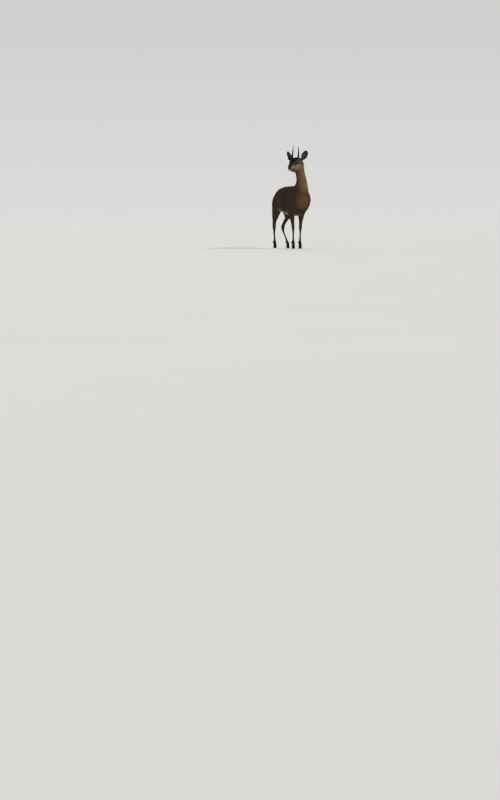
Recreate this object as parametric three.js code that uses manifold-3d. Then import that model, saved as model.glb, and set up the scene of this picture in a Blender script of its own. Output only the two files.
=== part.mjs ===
// A male klipspringer, a small rock antelope, standing alert with its head turned to its right.
// Millimetres, +Z up. The animal faces -Y, and its own left side is +X.
// The flesh is drawn as egg-shaped sections along an axis, joined into one body, and then parted
// into named pieces that meet face to face.
import * as THREE from "three";
import { mergeVertices } from "three/addons/utils/BufferGeometryUtils.js";
import Module from "manifold-3d";

const wasm = await Module();
wasm.setup();

// Driving dimensions
const withersHeight = 535;
const croupDrop = 8;
const chestDepth = 258;
const chestHalfWidth = 112;
const trunkLength = 482;
const breastY = -286;
const gap = 0.3;
const soleHeight = 33;
const hornLength = 110;
const hornRadius = 8.6;
const earLength = 89;
const earWidth = 52;
const eyeRadius = 12.5;

// Colours of the coat and horn, as red, green and blue from 0 to 1
const coatBack = new THREE.Color(0.27, 0.21, 0.14);
const coatLimb = new THREE.Color(0.33, 0.28, 0.21);
const coatFace = new THREE.Color(0.4, 0.3, 0.19);
const hornBlack = new THREE.Color(0.03, 0.03, 0.035);
const eyeBrown = new THREE.Color(0.035, 0.02, 0.012);

const figure = new THREE.Group();

// Turns a geometry into a solid, facing outwards whatever way round its faces were written.
function solidOf(geometry) {
  const bare = geometry.clone();
  bare.deleteAttribute("normal");
  bare.deleteAttribute("uv");
  const merged = mergeVertices(bare, 1e-4);
  const p = merged.attributes.position;
  const tri = new Uint32Array(merged.index.array);
  const [a, b, c] = [new THREE.Vector3(), new THREE.Vector3(), new THREE.Vector3()];
  let volume = 0;
  for (let i = 0; i < tri.length; i += 3) {
    a.fromBufferAttribute(p, tri[i]);
    b.fromBufferAttribute(p, tri[i + 1]);
    c.fromBufferAttribute(p, tri[i + 2]);
    volume += a.dot(b.cross(c));
  }
  if (volume < 0)
    for (let i = 0; i < tri.length; i += 3) [tri[i], tri[i + 1]] = [tri[i + 1], tri[i]];
  return new wasm.Manifold(
    new wasm.Mesh({ numProp: 3, vertProperties: new Float32Array(p.array), triVerts: tri }),
  );
}

// The largest closed body of a solid, as a geometry.
function geometryOf(solid) {
  const largest = solid.decompose().reduce((x, y) => (x.volume() > y.volume() ? x : y));
  const mesh = largest.getMesh();
  return new THREE.BufferGeometry()
    .setAttribute("position", new THREE.BufferAttribute(new Float32Array(mesh.vertProperties), 3))
    .setIndex(new THREE.BufferAttribute(new Uint32Array(mesh.triVerts), 1));
}

function addNode(name, solid, color, roughness = 0.9) {
  const mesh = new THREE.Mesh(
    geometryOf(solid),
    new THREE.MeshStandardMaterial({ color, roughness, metalness: 0 }),
  );
  mesh.name = name;
  figure.add(mesh);
}

// Sections are [along, middle, half width, low, widest, high]: an egg-shaped ring round an axis.
// place turns (along, across, up) into a point. Extra rings between sections follow smooth curves.
// fullness below 1 makes the rings squarer.
function loft(
  sections,
  place,
  { around = 22, between = 2, grow = 0, growEnds = grow, fullness = 1 } = {},
) {
  const full = (v) => Math.sign(v) * Math.abs(v) ** fullness;
  const centre = new THREE.CatmullRomCurve3(
    sections.map((s) => new THREE.Vector3(s[0], s[1], s[4])),
    false,
    "catmullrom",
    0.5,
  );
  const reach = new THREE.CatmullRomCurve3(
    sections.map((s) => new THREE.Vector3(s[2], s[4] - s[3], s[5] - s[4])),
    false,
    "catmullrom",
    0.5,
  );
  const rings = (sections.length - 1) * between;
  const positions = [];
  const direction = Math.sign(sections.at(-1)[0] - sections[0][0]);
  const ringAt = (k) => {
    const [c, r] = [centre.getPoint(k / rings), reach.getPoint(k / rings)];
    const lengthen = k === 0 ? -growEnds : k === rings ? growEnds : 0;
    const ring = [];
    for (let j = 0; j < around; j++) {
      const angle = (2 * Math.PI * j) / around;
      const up = full(Math.sin(angle));
      ring.push(
        place(
          c.x + direction * lengthen,
          c.y + full(Math.cos(angle)) * (Math.max(r.x, 0.5) + grow),
          c.z + up * ((up > 0 ? Math.max(r.z, 0.5) : Math.max(r.y, 0.5)) + grow),
        ),
      );
    }
    return { ring, middle: place(c.x + direction * lengthen, c.y, c.z) };
  };
  const all = Array.from({ length: rings + 1 }, (_, k) => ringAt(k));
  const triangle = (...points) => points.forEach((p) => positions.push(p.x, p.y, p.z));
  for (let j = 0; j < around; j++) {
    const n = (j + 1) % around;
    triangle(all[0].middle, all[0].ring[n], all[0].ring[j]);
    triangle(all[rings].middle, all[rings].ring[j], all[rings].ring[n]);
    for (let k = 0; k < rings; k++) {
      triangle(all[k].ring[j], all[k].ring[n], all[k + 1].ring[n]);
      triangle(all[k].ring[j], all[k + 1].ring[n], all[k + 1].ring[j]);
    }
  }
  return solidOf(
    new THREE.BufferGeometry().setAttribute(
      "position",
      new THREE.Float32BufferAttribute(positions, 3),
    ),
  );
}

const alongY = (along, across, up) => new THREE.Vector3(across, along, up);
const alongZ = (along, across, up) => new THREE.Vector3(across, up, along);

function ellipsoid(centre, radii, frame = new THREE.Matrix4(), detail = [12, 7]) {
  const g = new THREE.SphereGeometry(1, ...detail);
  g.scale(...radii).translate(...centre);
  return solidOf(g.applyMatrix4(frame));
}

// All of space on the side of a plane that its normal points to, as a big block.
function sideOf(point, normal, frame = new THREE.Matrix4()) {
  const size = 1600;
  const g = new THREE.BoxGeometry(size, size, size).translate(0, 0, size / 2);
  const turn = new THREE.Quaternion().setFromUnitVectors(
    new THREE.Vector3(0, 0, 1),
    new THREE.Vector3(...normal).normalize(),
  );
  g.applyQuaternion(turn).translate(...point);
  return solidOf(g.applyMatrix4(frame));
}

// Splits a solid by a plane into the side that the normal points to and the other, with the gap between.
function split(solid, point, normal, frame) {
  const n = new THREE.Vector3(...normal).normalize();
  const shifted = (d) => new THREE.Vector3(...point).addScaledVector(n, d).toArray();
  const front = sideOf(shifted(gap / 2), n.toArray(), frame);
  const back = sideOf(shifted(-gap / 2), n.clone().negate().toArray(), frame);
  return [solid.intersect(front), solid.intersect(back)];
}

const union = (...solids) => solids.reduce((a, b) => a.add(b));

// Trunk: share of its length from the breast to the rump, top, underside, half width, widest height
const sternum = withersHeight - chestDepth;
const croupHeight = withersHeight - croupDrop;
const trunkProfile = [
  [0.0, withersHeight - 74, sternum + 132, 14, 436],
  [0.035, withersHeight - 48, sternum + 88, 52, 430],
  [0.11, withersHeight - 24, sternum + 38, 88, 420],
  [0.22, withersHeight - 8, sternum + 10, chestHalfWidth - 6, 408],
  [0.34, withersHeight, sternum, chestHalfWidth, 398],
  [0.46, withersHeight - 2, sternum + 2, chestHalfWidth, 396],
  [0.58, withersHeight - 3, sternum + 14, chestHalfWidth - 3, 402],
  [0.7, croupHeight, sternum + 34, chestHalfWidth - 12, 408],
  [0.8, croupHeight - 11, sternum + 48, chestHalfWidth - 23, 412],
  [0.88, croupHeight - 33, sternum + 60, chestHalfWidth - 37, 417],
  [0.95, croupHeight - 68, sternum + 92, chestHalfWidth - 60, 424],
  [1.0, croupHeight - 94, sternum + 140, 14, 426],
];
const trunk = loft(
  trunkProfile.map(([share, top, low, half, mid]) => [
    breastY + share * trunkLength,
    0,
    half,
    low,
    mid,
    top,
  ]),
  alongY,
  { fullness: 0.92 },
);

// Neck: height, middle, half width, front, widest, back
const neckSections = [
  [392, 0, 62, -262, -190, -110],
  [440, 2, 72, -284, -196, -92],
  [484, 4, 66, -289, -206, -98],
  [520, 6, 54, -288, -214, -124],
  [550, 8, 45, -283, -218, -154],
  [582, 8, 40, -274, -216, -163],
  [616, 5, 37.5, -262, -210, -160],
  [652, 1, 37.5, -250, -203, -154],
  [690, -2, 40, -242, -198, -150],
  [724, -5, 40, -238, -197, -152],
  [748, -7, 30, -226, -197, -164],
];
const neck = loft(neckSections, alongZ, { around: 18 });

// Head: its own frame has x towards the nose, y to the animal's left and z up, from between the eyes
const headTurn = THREE.MathUtils.degToRad(60);
const headPitch = THREE.MathUtils.degToRad(18);
const headPlace = new THREE.Vector3(-68, -232, 722);
const noseWay = new THREE.Vector3(
  -Math.sin(headTurn) * Math.cos(headPitch),
  -Math.cos(headTurn) * Math.cos(headPitch),
  -Math.sin(headPitch),
);
const headLeft = new THREE.Vector3(Math.cos(headTurn), -Math.sin(headTurn), 0);
const headUp = new THREE.Vector3().crossVectors(noseWay, headLeft);
const headFrame = new THREE.Matrix4()
  .makeBasis(noseWay, headLeft, headUp)
  .setPosition(headPlace);
const inHead = (along, across, up) =>
  new THREE.Vector3(along, across, up).applyMatrix4(headFrame);

// Sections towards the nose: distance, middle, half width, underside, widest, top
const headSections = [
  [-80, 0, 12, -40, -8, 8],
  [-74, 0, 26, -62, -8, 20],
  [-60, 0, 35, -78, -6, 31],
  [-42, 0, 39, -90, -4, 39],
  [-22, 0, 40, -94, -2, 42.5],
  [-4, 0, 39.5, -89, 0, 41.5],
  [14, 0, 37, -80, -4, 36],
  [32, 0, 33, -70, -8, 28],
  [50, 0, 28, -61, -12, 20],
  [66, 0, 23.5, -52.5, -15, 13.5],
  [80, 0, 19.5, -45, -17, 7.5],
  [90, 0, 16, -39, -17, 2],
  [97, 0, 9.5, -29, -16, -5],
  [100, 0, 3, -20, -14.5, -9.5],
];
const headLoft = (grow) => loft(headSections, inHead, { around: 20, grow, fullness: 0.86 });

const mirror = [1, -1];
const sideName = { 1: "left", "-1": "right" };
const eyeCentre = (s) => [1, s * 37, 1];
const orbit = (s, grow) =>
  ellipsoid(
    [0, s * 34, 1.5],
    [22 + grow, 15.4 + grow, 17 + grow],
    headFrame,
    [14, 10],
  );
const brow = (s, grow) =>
  ellipsoid([-10, s * 29, 18], [28 + grow, 15 + grow, 15 + grow], headFrame);
const lipPad = (s, grow) =>
  ellipsoid([77, s * 10.5, -19], [18 + grow, 10.6 + grow, 11 + grow], headFrame);
const earBase = (s, grow) =>
  ellipsoid([-53, s * 36, 12], [22 + grow, 15 + grow, 18 + grow], headFrame);
const chin = (grow) => ellipsoid([76, 0, -37], [15 + grow, 12.5 + grow, 9 + grow], headFrame);
const headFlesh = (grow = 0) =>
  union(
    headLoft(grow),
    chin(grow),
    ...mirror.flatMap((s) => [
      orbit(s, grow),
      brow(s, grow),
      lipPad(s, grow),
      earBase(s, grow),
    ]),
  );

// Legs, from the foot up: height, middle, half width, front, widest, back, drawn for a left leg
const foreLeg = (x, y) => [
  [soleHeight + gap, x, 13.2, y - 13.5, y - 1, y + 11.5],
  [42, x, 12.4, y - 12.5, y - 1, y + 12.5],
  [52, x, 11.6, y - 10.8, y + 1, y + 15],
  [64, x, 11, y - 9, y + 2, y + 13.5],
  [78, x, 9, y - 7, y + 2, y + 11],
  [110, x + 0.5, 8.2, y - 7.5, y + 1, y + 9.5],
  [145, x + 1, 8.8, y - 9, y, y + 9.5],
  [168, x + 2, 12, y - 12.5, y - 1, y + 11.5],
  [187, x + 3, 14, y - 15, y - 1, y + 15.5],
  [203, x + 4, 13.6, y - 14, y + 1, y + 18],
  [222, x + 6, 15, y - 14.5, y + 2, y + 19],
  [250, x + 10, 18.5, y - 17, y + 4, y + 25],
  [285, x + 15, 24.5, y - 24, y + 8, y + 37],
  [320, x + 22, 32, y - 38, y + 10, y + 52],
  [360, x + 31, 40, y - 62, y + 2, y + 56],
  [400, x + 37, 43.5, y - 82, y - 18, y + 48],
  [440, x + 34, 42, y - 84, y - 20, y + 42],
  [472, x + 20, 38, y - 62, y - 12, y + 36],
  [496, x + 4, 22, y - 34, y - 4, y + 24],
];
// x and y are the foot's place, stifle and hock how far forward of a plain stance those joints are
const hindLeg = (x, y, hockShift, lean) => [
  [soleHeight + gap, x, 13.2, y - 13.5, y - 1, y + 11.5],
  [42, x, 12.4, y - 12 + lean * 2, y + lean * 2, y + 12.5 + lean * 2],
  [52, x, 11.8, y - 9 + lean * 7, y + 2 + lean * 7, y + 15.5 + lean * 7],
  [66, x, 11.2, y - 7 + lean * 16, y + 4 + lean * 16, y + 14.5 + lean * 16],
  [82, x, 9.2, y - 5 + lean * 29, y + 4 + lean * 29, y + 13 + lean * 29],
  [112, x, 8.4, y - 3 + lean * 52, y + 6 + lean * 52, y + 15 + lean * 52],
  [140, x - 1, 9, y - 1 + lean * 72, y + 9 + lean * 72, y + 20 + lean * 72],
  [160, x - 1, 11.6, y - 2 + hockShift, y + 15 + hockShift, y + 29 + hockShift],
  [180, x, 13.2, y - 7 + hockShift, y + 15 + hockShift, y + 35 + hockShift],
  [198, x + 1, 12.4, y - 13 + hockShift, y + 12 + hockShift, y + 36 + hockShift],
  [214, x + 6, 13, y - 22 + hockShift, y + 3 + hockShift, y + 28 + hockShift],
  [238, x + 9, 16.5, y - 38 + hockShift * 0.9, y - 12 + hockShift, y + 16 + hockShift * 0.9],
  [264, x + 12, 21.5, y - 60 + hockShift * 0.7, y - 24 + hockShift * 0.7, y + 12 + hockShift * 0.6],
];
const thighTop = (x, y) => [
  [292, x + 11, 29, y - 88, y - 38, y + 10],
  [322, x + 8, 34, y - 106, y - 46, y + 11],
  [355, x + 7, 37, y - 112, y - 46, y + 11],
  [395, x + 6, 37, y - 104, y - 48, y + 8],
  [432, x + 2, 35, y - 92, y - 48, y - 2],
  [462, x - 4, 28, y - 78, y - 48, y - 16],
  [480, x - 10, 16, y - 64, y - 48, y - 32],
];
const mirrored = (sections) =>
  sections.map(([z, x, half, front, mid, back]) => [z, -x, half, front, mid, back]);
const footPlace = {
  fore_left: [32, -152],
  fore_right: [33, -150],
  hind_left: [30, 68],
  hind_right: [36, 184],
};
const legSections = {
  fore_left: foreLeg(...footPlace.fore_left),
  fore_right: mirrored(foreLeg(...footPlace.fore_right)),
  hind_left: [
    ...hindLeg(...footPlace.hind_left, 78, 1),
    ...thighTop(36, 184).map((s, i) => {
      const forward = [38, 22, 12, 6, 2, 0, 0][i];
      return [s[0], s[1], s[2], s[3] - forward * 0.7, s[4] - forward, s[5] - forward];
    }),
  ],
  hind_right: mirrored([...hindLeg(...footPlace.hind_right, 0, 0.08), ...thighTop(36, 184)]),
};
const legs = Object.fromEntries(
  Object.entries(legSections).map(([name, s]) => [
    name,
    loft(s, alongZ, { around: 14 }),
  ]),
);

// Tail: a short tapered flap hanging from the croup, close to the rump
const tailSections = [
  [474, 0, 13, 148, 158, 168],
  [458, 0, 13.5, 170, 180, 190],
  [438, 0, 13, 188, 197, 206],
  [416, 0, 11, 196, 204, 211],
  [394, 0, 8, 200, 206, 211],
  [376, 0, 3, 204, 206.5, 209],
];
const tail = (grow = 0) =>
  loft(tailSections, alongZ, { around: 10, grow, growEnds: 0 }).add(
    ellipsoid([0, 158, 474], [13 + grow, 10 + grow, 8 + grow]),
  );

// Join the flesh, then part it
const whole = union(trunk, neck, headFlesh(), ...Object.values(legs));
// The head's share is a block whose back face runs from behind the ears down to the throat
function headSpace(grow) {
  const g = new THREE.BoxGeometry(300 + 2 * grow, 300, 330 + 2 * grow)
    .translate(150, 0, 5)
    .rotateY(-0.64)
    .translate(-78, 0, 25);
  return solidOf(g.applyMatrix4(headFrame));
}
const headRaw = whole.intersect(headSpace(0));
const belowHead = whole.subtract(headSpace(gap));
const neckCut = [[0, -150, 542], [0, -0.529, 0.848]];
const [neckPart, body] = split(belowHead, ...neckCut);

// The space that each leg takes out of the body, with a rounded top round the shoulder or hip
const legSpaceSizes = {
  fore: { centre: [94, -160, 322], radii: [79, 84, 118], top: 272, front: -240, back: -60 },
  hind: { centre: [94, 122, 352], radii: [80, 92, 128], top: 300, front: 60, back: 260 },
};
function legSpace(leg, grow) {
  const [pair, sideWord] = leg.split("_");
  const s = sideWord === "left" ? 1 : -1;
  const { centre, radii, top, front, back } = legSpaceSizes[pair];
  const inner = 14;
  const block = new THREE.BoxGeometry(200 + 2 * grow, back - front + 2 * grow, top + 40 + grow)
    .translate(s * (100 + inner), (front + back) / 2, (top - 40 + grow) / 2);
  return solidOf(block).add(
    ellipsoid(
      [s * centre[0], centre[1], centre[2]],
      radii.map((r) => r + grow),
      new THREE.Matrix4(),
      [16, 8],
    ),
  );
}
const tailSeat = tail(gap);
let torso = body.subtract(tailSeat);
const legParts = {};
for (const leg of Object.keys(legs)) {
  legParts[leg] = body.intersect(legSpace(leg, 0)).subtract(tailSeat);
  torso = torso.subtract(legSpace(leg, gap));
}

addNode("torso", torso, coatBack);
addNode("neck", neckPart, coatBack);
addNode("tail", tail(), coatBack);

// Each leg is split at the wrist or the hock into an upper and a lower length
const kneeCut = { fore: 190, hind: 190 };
for (const leg of Object.keys(legs)) {
  const [pair] = leg.split("_");
  const [upper, lower] = split(legParts[leg], [0, 0, kneeCut[pair]], [0, 0, 1]);
  addNode(`leg_${leg}_upper`, upper, coatLimb);
  addNode(`leg_${leg}_lower`, lower, coatLimb);
}

// Two blunt hooves under each foot, standing on their tips, and two dewclaws behind it
function hoof(x, y, s) {
  const middle = x + s * 6.7;
  return loft(
    [
      [0, middle, 5.4, y - 11.5, y - 2, y + 6.5],
      [1.6, middle, 6.2, y - 13, y - 2, y + 8],
      [12, middle, 6.3, y - 13.2, y - 2, y + 9],
      [24, middle, 6.2, y - 12.6, y - 2, y + 9.4],
      [soleHeight, middle, 5.8, y - 11.8, y - 2, y + 9],
    ],
    alongZ,
    { around: 12, between: 1 },
  );
}
function dewclaw(x, y, back, s, leg) {
  const way = new THREE.Vector3(s * 0.22, 0.62, -0.75).normalize();
  const root = new THREE.Vector3(x + s * 6.4, y + back - 7, 56);
  const turn = new THREE.Quaternion().setFromUnitVectors(new THREE.Vector3(0, 0, 1), way);
  const claw = loft(
    [
      [0, 0, 4.4, -3.6, 0, 3.6],
      [12, 0, 4.2, -3.4, 0, 3.4],
      [17, 0, 3.2, -2.6, 0, 2.6],
      [19, 0, 1.4, -1.2, 0, 1.2],
    ],
    (along, across, up) => new THREE.Vector3(across, up, along).applyQuaternion(turn).add(root),
    { around: 6, between: 1 },
  );
  return claw.subtract(leg);
}
for (const [leg, sections] of Object.entries(legSections)) {
  const [x, y] = footPlace[leg];
  const side = leg.endsWith("left") ? 1 : -1;
  const grown = loft(
    sections.filter((s) => s[0] < 150),
    alongZ,
    { around: 14, grow: gap },
  );
  const back = sections[2][5] - y;
  for (const s of mirror) {
    const place = s === side ? "outer" : "inner";
    addNode(`hoof_${leg}_${place}`, hoof(side * x, y, s), hornBlack, 0.5);
    addNode(`dewclaw_${leg}_${place}`, dewclaw(side * x, y, back, s, grown), hornBlack, 0.5);
  }
}

// Lids: the orbit is opened by an almond over the ball of the eye
function lidOpening(s) {
  const almond = new THREE.Shape();
  const [half, rise, drop] = [12.2, 8.2, 7.2];
  almond.moveTo(half, -2.4);
  almond.quadraticCurveTo(half * 0.35, rise * 1.9, -half, 1.2);
  almond.quadraticCurveTo(-half * 0.1, -drop * 2, half, -2.4);
  const g = new THREE.ExtrudeGeometry(almond, { depth: 26, bevelEnabled: false, curveSegments: 6 });
  // The almond faces out to the side: its x runs to the nose and its y up
  g.applyMatrix4(
    new THREE.Matrix4().makeBasis(
      new THREE.Vector3(1, 0, 0),
      new THREE.Vector3(0, 0, 1),
      new THREE.Vector3(0, s, 0),
    ),
  );
  g.translate(1, s * 37, 1);
  return solidOf(g.applyMatrix4(headFrame));
}
const socket = (s) =>
  ellipsoid(eyeCentre(s), Array(3).fill(eyeRadius + gap), headFrame, [16, 10]);
const eyeball = (s) => ellipsoid(eyeCentre(s), Array(3).fill(eyeRadius), headFrame, [16, 10]);

// The scent gland is a short slit in front of each eye
const glandSlit = (s) =>
  ellipsoid([30, s * 31, -4], [6.2, 3.6, 2.2], headFrame, [10, 6]);

// The mouth is a groove that runs back from under the nose, no deeper than the lips
function mouthGroove() {
  const line = new THREE.CatmullRomCurve3(
    [
      [110, -27.5],
      [90, -27.2],
      [76, -28.6],
      [62, -28.2],
      [50, -25.5],
    ].map(([u, w]) => new THREE.Vector3(u, w, 0)),
  );
  const half = 0.7;
  const points = line.getPoints(5);
  const profile = new THREE.Shape([
    ...points.map((p) => new THREE.Vector2(p.x, p.y + half)),
    ...points.reverse().map((p) => new THREE.Vector2(p.x, p.y - half)),
  ]);
  const g = new THREE.ExtrudeGeometry(profile, { depth: 90, bevelEnabled: false });
  g.translate(0, 0, -45);
  g.applyMatrix4(
    new THREE.Matrix4().makeBasis(
      new THREE.Vector3(1, 0, 0),
      new THREE.Vector3(0, 0, 1),
      new THREE.Vector3(0, -1, 0),
    ),
  );
  const inside = union(headLoft(-2.2), chin(-2.2), lipPad(1, -2.2), lipPad(-1, -2.2));
  return solidOf(g.applyMatrix4(headFrame)).subtract(inside);
}

// The bare nose pad wraps the tip of the muzzle and carries the nostrils
const nosePadSpace = (grow) =>
  ellipsoid([98, 0, -11], [14 + grow, 12.5 + grow, 11.5 + grow], headFrame, [14, 10]);
const nostril = (s) =>
  ellipsoid([96.5, s * 7.6, -12.5], [5.5, 3, 2.6], headFrame, [10, 6]);

let headPart = headRaw.subtract(mouthGroove());
for (const s of mirror)
  headPart = headPart.subtract(lidOpening(s)).subtract(socket(s)).subtract(glandSlit(s));
let nosePad = headRaw.intersect(nosePadSpace(0)).subtract(mouthGroove());
for (const s of mirror) nosePad = nosePad.subtract(nostril(s));
headPart = headPart.subtract(nosePadSpace(gap));
addNode("head", headPart, coatFace);
addNode("nose_pad", nosePad, hornBlack, 0.45);
for (const s of mirror) addNode(`eye_${sideName[s]}`, eyeball(s), eyeBrown, 0.08);

// Horns: upright spikes with raised rings over the lower part, bent a little forwards
const headSeat = headFlesh(gap);
function horn(s) {
  const steps = 22;
  const rooted = 12;
  const profile = [new THREE.Vector2(0, -rooted)];
  for (let i = 0; i <= steps; i++) {
    const t = i / steps;
    const ring = t > 0.1 && t < 0.46 && i % 2 ? 0.75 * (1 - t) : 0;
    profile.push(new THREE.Vector2(hornRadius * (1 - t) ** 0.82 + ring + 0.25, t * hornLength));
  }
  profile[1].x = hornRadius + 0.4;
  profile.push(new THREE.Vector2(0, hornLength + 0.6));
  const g = new THREE.LatheGeometry(profile, 10);
  g.rotateX(Math.PI / 2);
  const p = g.attributes.position;
  for (let i = 0; i < p.count; i++) {
    const t = Math.max(0, p.getZ(i)) / hornLength;
    p.setX(i, p.getX(i) + 7 * t * t - 3 * t);
  }
  const lean = new THREE.Matrix4()
    .makeRotationY(-headPitch - 0.13)
    .multiply(new THREE.Matrix4().makeRotationX(s * 0.05))
    .setPosition(-24, s * 31, 36);
  return solidOf(g.applyMatrix4(lean).applyMatrix4(headFrame)).subtract(headSeat);
}
for (const s of mirror) addNode(`horn_${sideName[s]}`, horn(s), hornBlack, 0.55);

// Ears: a broad leaf curled into a cup, with a hollow that opens along its front
// way is where the ear points and open is where its hollow looks, in the head's frame
function ear(s, way, open) {
  const along = new THREE.Vector3(...way).normalize();
  const facing = new THREE.Vector3(...open);
  facing.addScaledVector(along, -facing.dot(along)).normalize();
  const across = new THREE.Vector3().crossVectors(along, facing);
  const root = new THREE.Vector3(-61, s * 46, 14);
  const [lengthSteps, widthSteps] = [10, 7];
  const halfWidth = (t) =>
    (earWidth / 2) * Math.min(1, 0.4 + 2.5 * t) * Math.sqrt(Math.max(0.003, 1 - t ** 3.2));
  const curl = (t) => THREE.MathUtils.lerp(1.95, 0.75, Math.min(1, t * 1.5));
  const point = (t, a, out) => {
    const turn = a * curl(t);
    const radius = halfWidth(t) / Math.sin(Math.min(curl(t), Math.PI / 2));
    const thick = (1.5 + 1.4 * (1 - t)) * (1 - 0.55 * Math.abs(a) ** 3);
    const r = radius + out * thick;
    return root
      .clone()
      .addScaledVector(along, t * earLength)
      .addScaledVector(across, Math.sin(turn) * r)
      .addScaledVector(facing, radius - Math.cos(turn) * r - 6 * t * t);
  };
  const positions = [];
  const triangle = (...points) => points.forEach((p) => positions.push(p.x, p.y, p.z));
  const grid = (out) =>
    Array.from({ length: lengthSteps + 1 }, (_, i) =>
      Array.from({ length: widthSteps + 1 }, (_, j) =>
        point((i / lengthSteps) ** 0.85, (2 * j) / widthSteps - 1, out),
      ),
    );
  const [outside, inside] = [grid(1), grid(-1)];
  const quad = (p, q, r, t) => {
    triangle(p, q, r);
    triangle(p, r, t);
  };
  for (let i = 0; i < lengthSteps; i++)
    for (let j = 0; j < widthSteps; j++) {
      quad(outside[i][j], outside[i][j + 1], outside[i + 1][j + 1], outside[i + 1][j]);
      quad(inside[i][j], inside[i + 1][j], inside[i + 1][j + 1], inside[i][j + 1]);
    }
  for (let i = 0; i < lengthSteps; i++) {
    quad(outside[i][0], outside[i + 1][0], inside[i + 1][0], inside[i][0]);
    const j = widthSteps;
    quad(inside[i][j], inside[i + 1][j], outside[i + 1][j], outside[i][j]);
  }
  for (let j = 0; j < widthSteps; j++) {
    quad(outside[0][j + 1], outside[0][j], inside[0][j], inside[0][j + 1]);
    const i = lengthSteps;
    quad(outside[i][j], outside[i][j + 1], inside[i][j + 1], inside[i][j]);
  }
  const leaf = new THREE.BufferGeometry().setAttribute(
    "position",
    new THREE.Float32BufferAttribute(positions, 3),
  );
  return solidOf(leaf.applyMatrix4(headFrame)).subtract(headSeat);
}
addNode("ear_left", ear(1, [-0.74, 0.19, 0.65], [0.59, 0.62, 0.51]), coatFace);
addNode("ear_right", ear(-1, [-0.15, -0.64, 0.73], [0.9, -0.25, 0.1]), coatFace);

// Stand the figure over the origin
const box = new THREE.Box3().setFromObject(figure);
const middle = box.getCenter(new THREE.Vector3());
figure.position.set(-middle.x, -middle.y, -box.min.z);
const klipspringer = new THREE.Group();
klipspringer.add(figure);

export default klipspringer;
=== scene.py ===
# A grown male klipspringer, standing alert with its head turned to its right: the dressed model.
import math

import bmesh
import bpy
import numpy as np
from mathutils import Matrix, Vector
from mathutils.bvhtree import BVHTree
from mathutils.kdtree import KDTree


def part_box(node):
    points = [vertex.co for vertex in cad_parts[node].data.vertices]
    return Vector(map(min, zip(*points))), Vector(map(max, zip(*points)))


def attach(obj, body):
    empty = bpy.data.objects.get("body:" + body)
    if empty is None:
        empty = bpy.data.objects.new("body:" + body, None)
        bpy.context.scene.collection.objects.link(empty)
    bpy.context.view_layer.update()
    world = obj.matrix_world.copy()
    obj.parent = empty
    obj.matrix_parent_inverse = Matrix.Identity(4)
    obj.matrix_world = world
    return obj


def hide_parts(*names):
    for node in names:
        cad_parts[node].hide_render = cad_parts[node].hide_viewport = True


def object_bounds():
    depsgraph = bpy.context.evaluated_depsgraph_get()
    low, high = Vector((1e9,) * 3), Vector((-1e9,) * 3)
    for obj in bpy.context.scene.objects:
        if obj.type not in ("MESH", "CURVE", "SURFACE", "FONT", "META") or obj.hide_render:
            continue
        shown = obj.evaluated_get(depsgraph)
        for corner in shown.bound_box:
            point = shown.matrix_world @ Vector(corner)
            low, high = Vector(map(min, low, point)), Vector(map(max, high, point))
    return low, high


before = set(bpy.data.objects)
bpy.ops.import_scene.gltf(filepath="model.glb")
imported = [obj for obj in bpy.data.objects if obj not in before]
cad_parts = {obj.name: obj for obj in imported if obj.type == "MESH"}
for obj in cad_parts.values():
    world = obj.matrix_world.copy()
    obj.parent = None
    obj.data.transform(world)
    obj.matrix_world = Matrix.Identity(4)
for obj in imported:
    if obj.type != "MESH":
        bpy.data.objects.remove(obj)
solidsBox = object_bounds()
print("stage: frame loaded")

mm = 0.001  # lengths below are written in millimetres and turned to metres with this
sides = {"left": 1, "right": -1}
feet = ("fore_left", "fore_right", "hind_left", "hind_right")
dice = np.random.default_rng(20)


# Landmarks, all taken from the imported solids
def middleOf(node):
    low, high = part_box(node)
    return (low + high) / 2


torsoLow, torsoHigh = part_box("torso")
bodyMiddle = (torsoLow.x + torsoHigh.x) / 2
breast = torsoLow.y


def atBody(across, back, up):  # from the body's middle plane, the breast and the floor, in mm
    return np.array([bodyMiddle + across * mm, breast + back * mm, up * mm])


headPose = {"turn": math.radians(60), "pitch": math.radians(18)}
noseWay = np.array([
    -math.sin(headPose["turn"]) * math.cos(headPose["pitch"]),
    -math.cos(headPose["turn"]) * math.cos(headPose["pitch"]),
    -math.sin(headPose["pitch"]),
])
leftWay = np.array([math.cos(headPose["turn"]), -math.sin(headPose["turn"]), 0])
crownWay = np.cross(noseWay, leftWay)
headAxes = np.array([noseWay, leftWay, crownWay])
eyeRadius = (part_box("eye_left")[1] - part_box("eye_left")[0]).z / 2
betweenEyes = np.array((middleOf("eye_left") + middleOf("eye_right")) / 2)
headOrigin = betweenEyes - (noseWay + crownWay) * mm


def atHead(along, across, up):  # towards the nose, to the animal's left and to the crown, in mm
    return headOrigin + np.array([along, across, up]) @ headAxes * mm


def inHead(points):  # points of the frame as head places, in mm
    return (np.asarray(points) - headOrigin) @ headAxes.T / mm


# Shader sums
def summing(operation, swapped=False):
    def summed(wire, other):
        pair = (other, wire) if swapped else (wire, other)
        return wire.paint.node("ShaderNodeMath", {"operation": operation}, dict(enumerate(pair)))

    return summed


class Wire:
    # a node's output socket that Python sums can be written with
    def __init__(self, paint, socket):
        self.paint = paint
        self.socket = socket

    __add__, __radd__ = summing("ADD"), summing("ADD", True)
    __sub__, __rsub__ = summing("SUBTRACT"), summing("SUBTRACT", True)
    __mul__, __rmul__ = summing("MULTIPLY"), summing("MULTIPLY", True)
    __truediv__, __rtruediv__ = summing("DIVIDE"), summing("DIVIDE", True)
    __pow__, __rpow__ = summing("POWER"), summing("POWER", True)


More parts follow.
